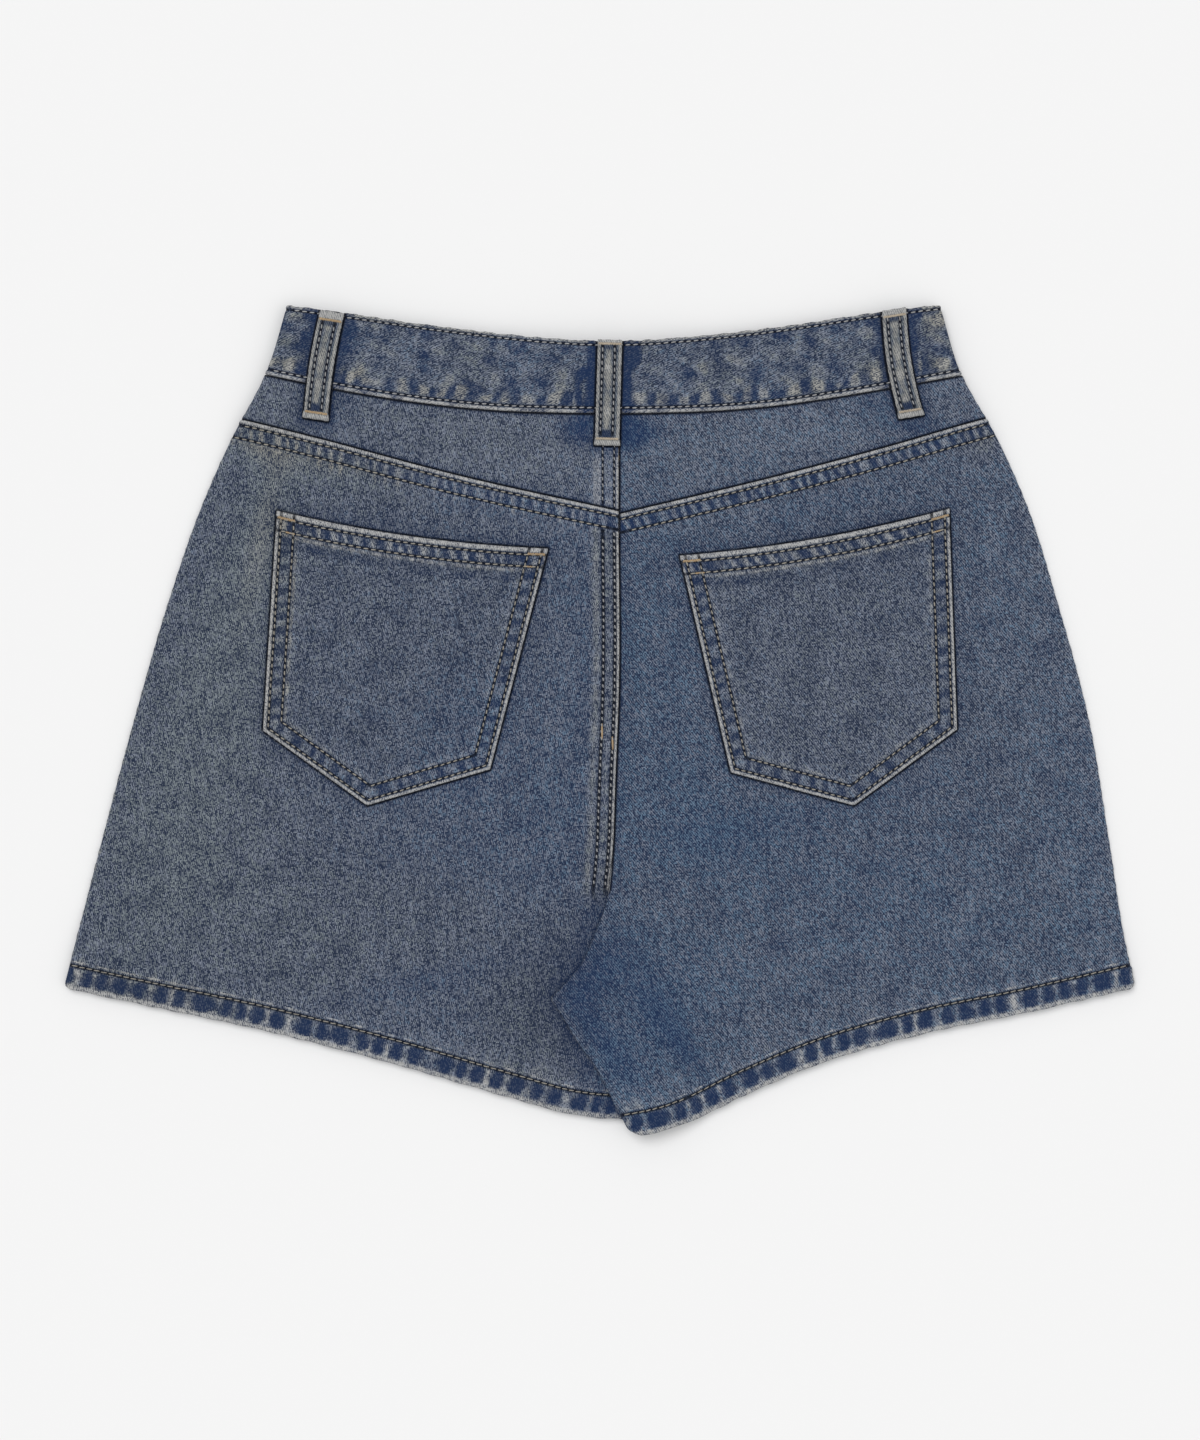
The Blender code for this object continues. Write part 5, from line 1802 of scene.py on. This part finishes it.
# The zip's teeth: from one to the next, root and tip from the chain's middle, half width and height
TOOTH_STEP, TOOTH_ROOT, TOOTH_TIP, TOOTH_HALF, TOOTH_HIGH = 0.95, 2.3, 0.9, 0.32, 0.85


def lathe(name, profile, centre):
    """A turned shape from radii and heights, closed at its first and last point."""
    angle = 2 * np.pi * np.arange(LATHE_SIDES) / LATHE_SIDES
    radius, height = np.array(profile, float).T
    plan = radius[:, None, None] * in_plan(np.cos(angle), np.sin(angle))
    points = with_height(plan + np.array(centre), np.broadcast_to(height[:, None], plan.shape[:2]))
    index = np.arange(len(radius) * LATHE_SIDES).reshape(len(radius), LATHE_SIDES)
    after = np.roll(index, -1, axis=1)
    around = quads(index[:-1], after[:-1], after[1:], index[1:])
    faces = around.tolist() + [index[0, ::-1].tolist(), index[-1].tolist()]
    mesh = new_mesh(name, points.reshape(-1, 3), faces)
    mesh.set_sharp_from_angle(angle=math.radians(50))
    return mesh


def fly_button(brass):
    """A tack button: a rim, a sunk ring and a raised middle, face down on the table."""
    x = FRONT_X - BUTTON_IN
    y = float(band_point(np.array((x,)), 0.5, 1.0)[0])
    radius = BUTTON_RADIUS
    face = ((0.6, 0.55), (2.6, 0.5), (3.4, 0.75), (5.6, 0.8), (6.4, 0.2), (7.3, 0.0), (8.0, 0.12))
    rim = ((radius, 0.55), (radius, 1.2), (8.1, 1.7), (7.4, BUTTON_THICK), (0.6, BUTTON_THICK))
    profile = face + rim
    mesh = lathe("tack_button", profile, (x, y))
    return new_piece("tack_button", mesh, brass, "brass", "fly_button")


def zip_bed(y):
    """The height of the left front's inside under the zip."""
    return lift(np.full_like(y, FRONT_X - 4.0), y) + WALL


def box_points(low, high):
    low, high = np.asarray(low, float), np.asarray(high, float)
    corners = np.array([(i, j, k) for i in (0, 1) for j in (0, 1) for k in (0, 1)])
    return low + (high - low) * corners


BOX_FACES = np.array(
    ((0, 1, 3, 2), (4, 6, 7, 5), (0, 4, 5, 1), (2, 3, 7, 6), (0, 2, 6, 4), (1, 5, 7, 3))
)


def boxes_mesh(name, boxes):
    points = np.concatenate([box_points(*box) for box in boxes])
    faces = np.concatenate([BOX_FACES + 8 * number for number in range(len(boxes))])
    return new_mesh(name, points, faces.tolist(), smooth=False)


def fly_zip(tape, brass):
    """The tape, and its metal teeth from both sides in turn."""
    y = np.linspace(FLY_TOP, ZIP_FOOT, 60)
    across = np.array((-ZIP_TAPE, -6.0, -2.2, -1.2, 0.0, 1.2, 2.2))
    bed = zip_bed(y) + SEAM_GAP
    plan = np.stack(np.broadcast_arrays(FRONT_X + across[None, :], y[:, None]), axis=-1)
    cord = 0.25 * bump(np.abs(across) - 1.2, 0.8)
    outer = with_height(plan, bed[:, None] + ZIP_TAPE_THICK - 0.1 + cord[None, :])
    inner = with_height(plan, np.broadcast_to(bed[:, None], plan.shape[:2]))
    wear = Wear(plan[..., 0], plan[..., 1])
    woven = Cloth("fly_zip", outer, inner, wear, tape, "zip_tape")
    chain = np.arange(FLY_TOP - 11.0, ZIP_FOOT + 1.0, -TOOTH_STEP)
    boxes = []
    for number, place in enumerate(chain):
        base = float(zip_bed(np.array((place,)))[0]) + SEAM_GAP + ZIP_TAPE_THICK + 0.1
        side = 1 if number % 2 else -1
        low_x, high_x = sorted((FRONT_X + side * TOOTH_ROOT, FRONT_X - side * TOOTH_TIP))
        high = (high_x, place + TOOTH_HALF, base + TOOTH_HIGH)
        boxes.append(((low_x, place - TOOTH_HALF, base), high))
    teeth = new_piece("zip_teeth", boxes_mesh("zip_teeth", boxes), brass, "brass")
    bevel = teeth.modifiers.new("edges", "BEVEL")
    bevel.width = 0.12 * MM
    bevel.segments = 2
    return woven.piece, teeth


# ---- materials


class Value:
    """A value in a material: arithmetic on it adds Math nodes."""

    def __init__(self, look, socket):
        self.look, self.socket = look, socket

    def math(self, operation, *others, **settings):
        inputs = dict(enumerate((self, *others)))
        return self.look.add("Math", {"operation": operation, **settings}, inputs)

    def __add__(self, other):
        return self.math("ADD", other)

    def __sub__(self, other):
        return self.math("SUBTRACT", other)

    def __mul__(self, other):
        return self.math("MULTIPLY", other)

    def __rsub__(self, other):
        return self.look.add("Math", {"operation": "SUBTRACT"}, {0: other, 1: self})

    __radd__ = __add__
    __rmul__ = __mul__

    def clamped(self):
        return self.math("ADD", 0.0, use_clamp=True)

    def between(self, low, high):
        """0 at the low value and below, 1 at the high one and above."""
        return self.look.add("MapRange", {}, {"Value": self, "From Min": low, "From Max": high})


class Look:
    """A material being made."""

    def __init__(self, name, roughness, **constants):
        self.material = bpy.data.materials.new(name)
        self.material.use_nodes = True
        self.tree = self.material.node_tree
        self.shader = self.tree.nodes["Principled BSDF"]
        for socket, value in {"Roughness": roughness, **constants}.items():
            self.shader.inputs[socket.replace("_", " ")].default_value = value

    def put(self, socket, value):
        if isinstance(value, Value):
            self.tree.links.new(value.socket, socket)
        else:
            socket.default_value = value

    def add(self, kind, settings=None, inputs=None, output=0):
        """A node of that kind, its settings made first and then its sockets."""
        node = self.tree.nodes.new("ShaderNode" + kind)
        for name, value in (settings or {}).items():
            setattr(node, name, value)
        for socket, value in (inputs or {}).items():
            self.put(node.inputs[socket], value)
        return Value(self, node.outputs[output])

    def place(self):
        """The place on the object in millimetres: x, y and z."""
        here = self.add("TexCoord", output="Object")
        split = self.add("SeparateXYZ", inputs={0: here}).socket.node
        return [Value(self, split.outputs[k]) * (1 / MM) for k in range(3)]

    def noise(self, u, v, w, detail, rough=0.5):
        spot = self.add("CombineXYZ", inputs={0: u, 1: v, 2: w})
        inputs = {"Vector": spot, "Scale": 1.0, "Detail": detail, "Roughness": rough}
        return self.add("TexNoise", inputs=inputs)

    def cell(self, first, second):
        """A value of its own for each pair of whole numbers."""
        spot = self.add("CombineXYZ", inputs={0: first, 1: second})
        settings = {"noise_dimensions": "2D"}
        return self.add("TexWhiteNoise", settings, {"Vector": spot})

    def mark(self, name):
        return self.add("Attribute", {"attribute_name": name}, output="Fac")

    def channel(self, name, seam):
        """The shadow that a seam's rows of stitches lie in, darkest at the needle holes."""
        spot = self.add("Attribute", {"attribute_name": name}, output="Vector")
        split = self.add("SeparateXYZ", inputs={0: spot}).socket.node
        off, run, share = (Value(self, split.outputs[k]) for k in range(3))
        holes = (run * (2 * math.pi / seam.pitch)).math("COSINE") * 0.5 + 0.5
        wide = seam.shadow
        near = [(off - row).math("ABSOLUTE").between(wide, 0.45 * wide) for row in seam.rows]
        nearest = near[0].math("MAXIMUM", near[-1])
        return nearest * (holes * 0.3 + 0.7) * share

    def blend(self, first, second, share):
        """Two colours mixed."""
        return self.add("Mix", {"data_type": "RGBA"}, {0: share, 6: first, 7: second}, output=2)

    def bumpy(self, height, distance, strength):
        inputs = {"Strength": strength, "Distance": distance * MM, "Height": height}
        return self.add("Bump", inputs=inputs)

    def finish(self, **values):
        for socket, value in values.items():
            self.put(self.shader.inputs[socket.replace("_", " ")], value)
        return self.material


NAVY = (0.016, 0.0245, 0.050, 1)
INDIGO = (0.012, 0.027, 0.075, 1)
# near black for painted shadow beside edges and along stitch rows
PAINTED_SHADOW = (0.005, 0.006, 0.010, 1)
LILAC_GREY = (0.215, 0.240, 0.300, 1)
STEEL_BLUE = (0.138, 0.215, 0.305, 1)
SAGE_GREY = (0.225, 0.258, 0.272, 1)
RUBBED = (0.40, 0.40, 0.395, 1)
WARM_GREY = (0.290, 0.285, 0.250, 1)
REVERSE = (0.34, 0.36, 0.40, 1)


# Each piece's weave: its twill lines' and its warp's angles from x, how strong the lines
# are, how pale and blue it is, and how strong its specks are
GRAIN = {
    "back_panel_left": (104.5, 92.0, 0.33, -0.01, 0.0, 0.95),
    "back_panel_right": (129.5, 96.0, 0.48, -0.01, 0.13, 0.95),
    "front_panel_left": (76.0, 88.0, 0.33, 0.0, 0.0, 0.95),
    "front_panel_right": (52.0, 86.0, 0.33, 0.0, 0.1, 0.95),
    "yoke_left": (108.5, 92.0, 0.34, 0.06, -0.05, 0.95),
    "yoke_right": (129.5, 96.0, 0.48, 0.07, 0.12, 0.95),
    "pocket_left": (108.5, 92.0, 0.33, -0.03, 0.08, 0.95),
    "pocket_right": (127.0, 96.0, 0.42, -0.02, 0.1, 0.95),
    "waistband": (27.0, 4.0, 0.35, 0.0, 0.03, 0.95),
    "belt_loop_centre_back": (113.0, 95.0, 0.45, 0.03, 0.0, 0.5),
    "belt_loop_back_left": (110.0, 82.0, 0.45, 0.03, 0.0, 0.5),
    "belt_loop_back_right": (113.0, 100.0, 0.45, 0.03, 0.0, 0.5),
    "belt_loop_front_left": (68.0, 85.0, 0.45, 0.03, 0.0, 0.5),
    "belt_loop_front_right": (68.0, 85.0, 0.45, 0.03, 0.0, 0.5),
}


def denim_look(node, seams):
    """Washed twill: broken pale lines over navy, slubs along the warp, and the seams' shadows."""
    twill, warp, lined, pale, bluer, specks = GRAIN[node]
    seed = float(len(node)) + twill
    sheen = {"Sheen_Weight": 0.02, "Sheen_Roughness": 0.5}
    look = Look("denim_" + node, 0.9, Specular_IOR_Level=0.04, **sheen)
    x, y, z = look.place()
    cos, sin = math.cos(math.radians(twill)), math.sin(math.radians(twill))
    run, across = x * cos + y * sin + z * 0.7, y * cos - x * sin
    down, side = math.cos(math.radians(warp)), math.sin(math.radians(warp))
    warp_run, warp_across = x * down + y * side, y * down - x * side
    wobble = look.noise(run * 0.12, across * 0.3, seed, 2.0)
    fine = look.noise(run * 0.45, across * 0.9, seed + 3.0, 1.0)
    turn = across * (1 / WEAVE) + wobble * 0.8 + fine * 0.35
    lines = 0.5 - (turn * (2 * math.pi)).math("COSINE") * 0.5
    line = turn.math("FLOOR")
    crossing_of = (run * (1 / FLOAT) + line * 0.37).math("FLOOR")
    floats = look.cell(line, crossing_of)
    fuzz = look.cell((warp_run * 1.4).math("FLOOR"), (warp_across * 1.9).math("FLOOR"))
    slubs = look.noise(warp_run * 0.06, warp_across * 1.0, seed + 11.0, 2.0).between(0.3, 0.7)
    cloud = look.noise(x * 0.085, y * 0.085, seed + 17.0, 3.0, 0.6).between(0.3, 0.7)
    tint = look.noise(x * 0.6, y * 0.6, seed + 23.0, 2.0, 0.6).between(0.32, 0.68)
    worn, deep, blue = look.mark("worn"), look.mark("deep"), look.mark("blue")
    weave = lines * lined + fuzz * specks + slubs * 0.18 - (0.09 + 0.5 * (specks + lined))
    amount = weave + cloud * 0.07 + (0.265 + pale) + worn * 0.45 - deep * 0.34
    amount = (amount + worn.between(0.75, 1.0) * 0.12).clamped() * (1.0 - deep * 0.6)
    hue = (blue * 0.4 + cloud * 0.2 + tint * 0.3 + floats * 0.5 + (bluer - 0.03)).clamped()
    tone = look.blend(SAGE_GREY, LILAC_GREY, hue.between(0.0, 0.5))
    tone = look.blend(tone, STEEL_BLUE, hue.between(0.55, 1.0))
    tone = look.blend(tone, WARM_GREY, (worn.between(0.2, 0.6) * (blue * -1.3)).clamped())
    tone = look.blend(tone, RUBBED, worn.between(0.45, 0.95))
    # deep carries painted shade as well as unworn dye, and takes both towards navy and indigo
    ground = look.blend(NAVY, INDIGO, (deep * 0.7 + blue * 0.5).clamped())
    colour = look.blend(ground, tone, amount.clamped())
    # painted shadow: near black close to the edge of a piece lying over this one, and in the stitch
    # channels
    shadow = look.mark("covered").between(1.5, 0.7)
    for number, seam in enumerate(seams):
        shadow = shadow.math("MAXIMUM", look.channel(f"seam_{number}", seam))
    colour = look.blend(colour, PAINTED_SHADOW, shadow * 0.92)
    reverse = look.blend(NAVY, REVERSE, (lines * 0.3 + floats * 0.3 + 0.45).clamped())
    colour = look.blend(colour, reverse, look.mark("inside"))
    height = lines * 0.6 + floats * 0.3 + slubs * 0.3
    return look.finish(
        Base_Color=colour,
        Roughness=0.95 - amount.clamped() * 0.12,
        Normal=look.bumpy(height, 0.2, 0.4),
    )


def thread_look(name, colour, shade, seed):
    """Spun thread, its two plies twisted."""
    look = Look(name, 0.75, Sheen_Weight=0.2, Sheen_Roughness=0.5)
    x, y, z = look.place()
    # the darker colour shows in the twist as painted shade between the plies, and in random patches
    twist = ((x + y * 0.8) * (2 * math.pi / 0.55)).math("SINE") * 0.5 + 0.5
    fuzz = look.noise(x * 2.2, y * 2.2, z * 2.2 + seed, 2.0).between(0.3, 0.7)
    along_seam = look.noise(x * 0.2, y * 0.2, seed, 2.0).between(0.3, 0.7)
    share = (twist * 0.3 + fuzz * 0.45 + along_seam * 0.35).clamped()
    return look.finish(
        Base_Color=look.blend(shade, colour, share),
        Roughness=0.6 + fuzz * 0.25,
        Normal=look.bumpy(twist + fuzz, 0.1, 0.6),
    )


def brass_look():
    """Old brass, brushed and a little tarnished in patches."""
    look = Look("old_brass", 0.35, Metallic=1.0)
    x, y, z = look.place()
    brushed = look.noise(x * 0.35, y * 9.0, z * 9.0, 2.0).between(0.25, 0.75)
    tarnish = look.noise(x * 0.8, y * 0.8, z * 0.8, 3.0).between(0.45, 0.7)
    colour = look.blend((0.52, 0.39, 0.19, 1), (0.21, 0.14, 0.07, 1), tarnish)
    return look.finish(
        Base_Color=colour,
        Roughness=0.26 + brushed * 0.16 + tarnish * 0.2,
        Normal=look.bumpy(brushed, 0.02, 0.4),
    )


def tape_look():
    """Navy herringbone zip tape."""
    look = Look("zip_tape", 0.85, Sheen_Weight=0.15, Sheen_Roughness=0.5)
    x, y, z = look.place()
    chevron = ((x * 0.5).math("PINGPONG", 1.0) * 2.0 + y * 1.3) * math.pi
    ribs = chevron.math("SINE") * 0.5 + 0.5
    fuzz = look.noise(x * 1.5, y * 1.5, z * 1.5, 2.0)
    colour = look.blend((0.018, 0.024, 0.045, 1), (0.06, 0.075, 0.115, 1), ribs * 0.6 + fuzz * 0.4)
    return look.finish(
        Base_Color=colour,
        Roughness=0.75 + ribs * 0.15,
        Normal=look.bumpy(ribs, 0.15, 0.6),
    )


def floor_look():
    look = Look("pale_table", 0.9, Specular_IOR_Level=0.1)
    return look.finish(Base_Color=(0.80, 0.80, 0.80, 1))


# ---- table, light and camera

VIEW_HEIGHT = 763.2  # what the picture takes in at the cloth's height
LENS = 100.0
SENSOR = 36.0
CLOTH_LEVEL = 6.0
TABLE_HALF = 2400.0
DAYLIGHT = 0.655
# Each lamp's place, how wide it shines from and its strength
LAMPS = {
    "key": ((-0.5, 0.75, 1.7), 35.0, 1.27),
    "fill": ((1.2, -0.6, 1.7), 60.0, 0.53),
}


def stage():
    corners = np.array(((-1, -1, 0), (1, -1, 0), (1, 1, 0), (-1, 1, 0))) * TABLE_HALF
    mesh = new_mesh("table", corners, [(0, 1, 2, 3)], smooth=False)
    mesh.materials.append(floor_look())
    floor = new_object("table", mesh)
    floor.location.z = -0.1 * MM
    world = bpy.data.worlds.new("studio")
    world.use_nodes = True
    sky = world.node_tree.nodes["Background"].inputs
    sky["Color"].default_value = (1.0, 1.0, 1.0, 1)
    sky["Strength"].default_value = DAYLIGHT
    bpy.context.scene.world = world
    for name, (place, spread, power) in LAMPS.items():
        light = bpy.data.lights.new(name, "SUN")
        light.angle = math.radians(spread)
        light.energy = power
        lamp = new_object(name, light)
        lamp.location = place
        lamp.rotation_euler = (-Vector(place)).to_track_quat("-Z", "Y").to_euler()


def overhead_camera():
    data = bpy.data.cameras.new("overhead")
    data.lens = LENS
    data.sensor_width = SENSOR
    data.clip_end = 20.0
    camera = new_object("overhead", data)
    camera.location = (0.0, 0.0, (CLOTH_LEVEL + VIEW_HEIGHT * LENS / SENSOR) * MM)
    bpy.context.scene.camera = camera
    bpy.context.scene.view_settings.view_transform = "Standard"


# ---- make everything

# The cut of each sheet that shows, in metres: width, length and area, and what it lies on
CUTS = {
    "back_panel_left": (0.307, 0.370, 0.0775, ["front_panel_left"]),
    "back_panel_right": (0.310, 0.379, 0.0775, ["front_panel_right"]),
    "front_panel_left": (0.330, 0.395, 0.0885, []),
    "front_panel_right": (0.310, 0.404, 0.0860, ["front_panel_left"]),
    "yoke_left": (0.203, 0.073, 0.0072, ["front_panel_left"]),
    "yoke_right": (0.198, 0.074, 0.0072, ["front_panel_right"]),
    "waistband": (0.780, 0.0385, None, ["fly_button"]),
    "pocket_left": (0.150, 0.158, 0.0178, ["back_panel_left"]),
    "pocket_right": (0.150, 0.158, 0.0178, ["back_panel_right"]),
    "belt_loop_centre_back": (0.013, 0.056, None, ["waistband", "yoke_left"]),
    "belt_loop_back_left": (0.013, 0.056, None, ["waistband", "yoke_left"]),
    "belt_loop_back_right": (0.013, 0.056, None, ["waistband", "yoke_right"]),
    "belt_loop_front_left": (0.013, 0.056, None, []),
    "belt_loop_front_right": (0.013, 0.056, None, []),
    "fly_zip": (0.0132, 0.115, None, ["front_panel_left"]),
}


def main():
    overhead_camera()
    stage()
    thread = thread_look("khaki_thread", (0.37, 0.345, 0.29, 1), (0.13, 0.12, 0.10, 1), 1.0)
    grey = thread_look("faded_thread", (0.40, 0.40, 0.40, 1), (0.16, 0.16, 0.165, 1), 3.0)
    gold = thread_look("gold_thread", (0.47, 0.34, 0.19, 1), (0.20, 0.13, 0.07, 1), 2.0)
    pale = thread_look("worn_tan_thread", (0.50, 0.42, 0.32, 1), (0.24, 0.20, 0.15, 1), 4.0)
    brass, tape = brass_look(), tape_look()
    cloths = {}
    make_legs(cloths)
    for leg in LEGS:
        cloths["yoke_" + leg] = yoke(leg)
        cloths["pocket_" + leg] = pocket(leg)
    cloths["waistband"] = waistband()
    make_loops(cloths)
    sewn = {}
    sewn.update(sew_backs(cloths, thread, grey, gold))
    sewn.update(sew_pockets(cloths, thread, gold))
    sewn.update(sew_waistband(cloths, grey))
    sewn.update(sew_loops(cloths, grey, pale, gold))
    sewn.update(sew_fronts(cloths, thread))
    zip_tape, teeth = fly_zip(tape, brass)
    fly_button(brass)
    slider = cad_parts["zip_slider"]
    for material_slot in slider.material_slots:
        material_slot.material = brass
    pieces = {node: cloth.piece for node, cloth in cloths.items()}
    pieces["fly_zip"] = zip_tape
    sewn["fly_zip"] = [teeth]
    for node, (width, length, area, under) in CUTS.items():
        rests_on = [pieces[name] if name in pieces else "tack_button" for name in under]
        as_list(sewn.get(node, []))


main()
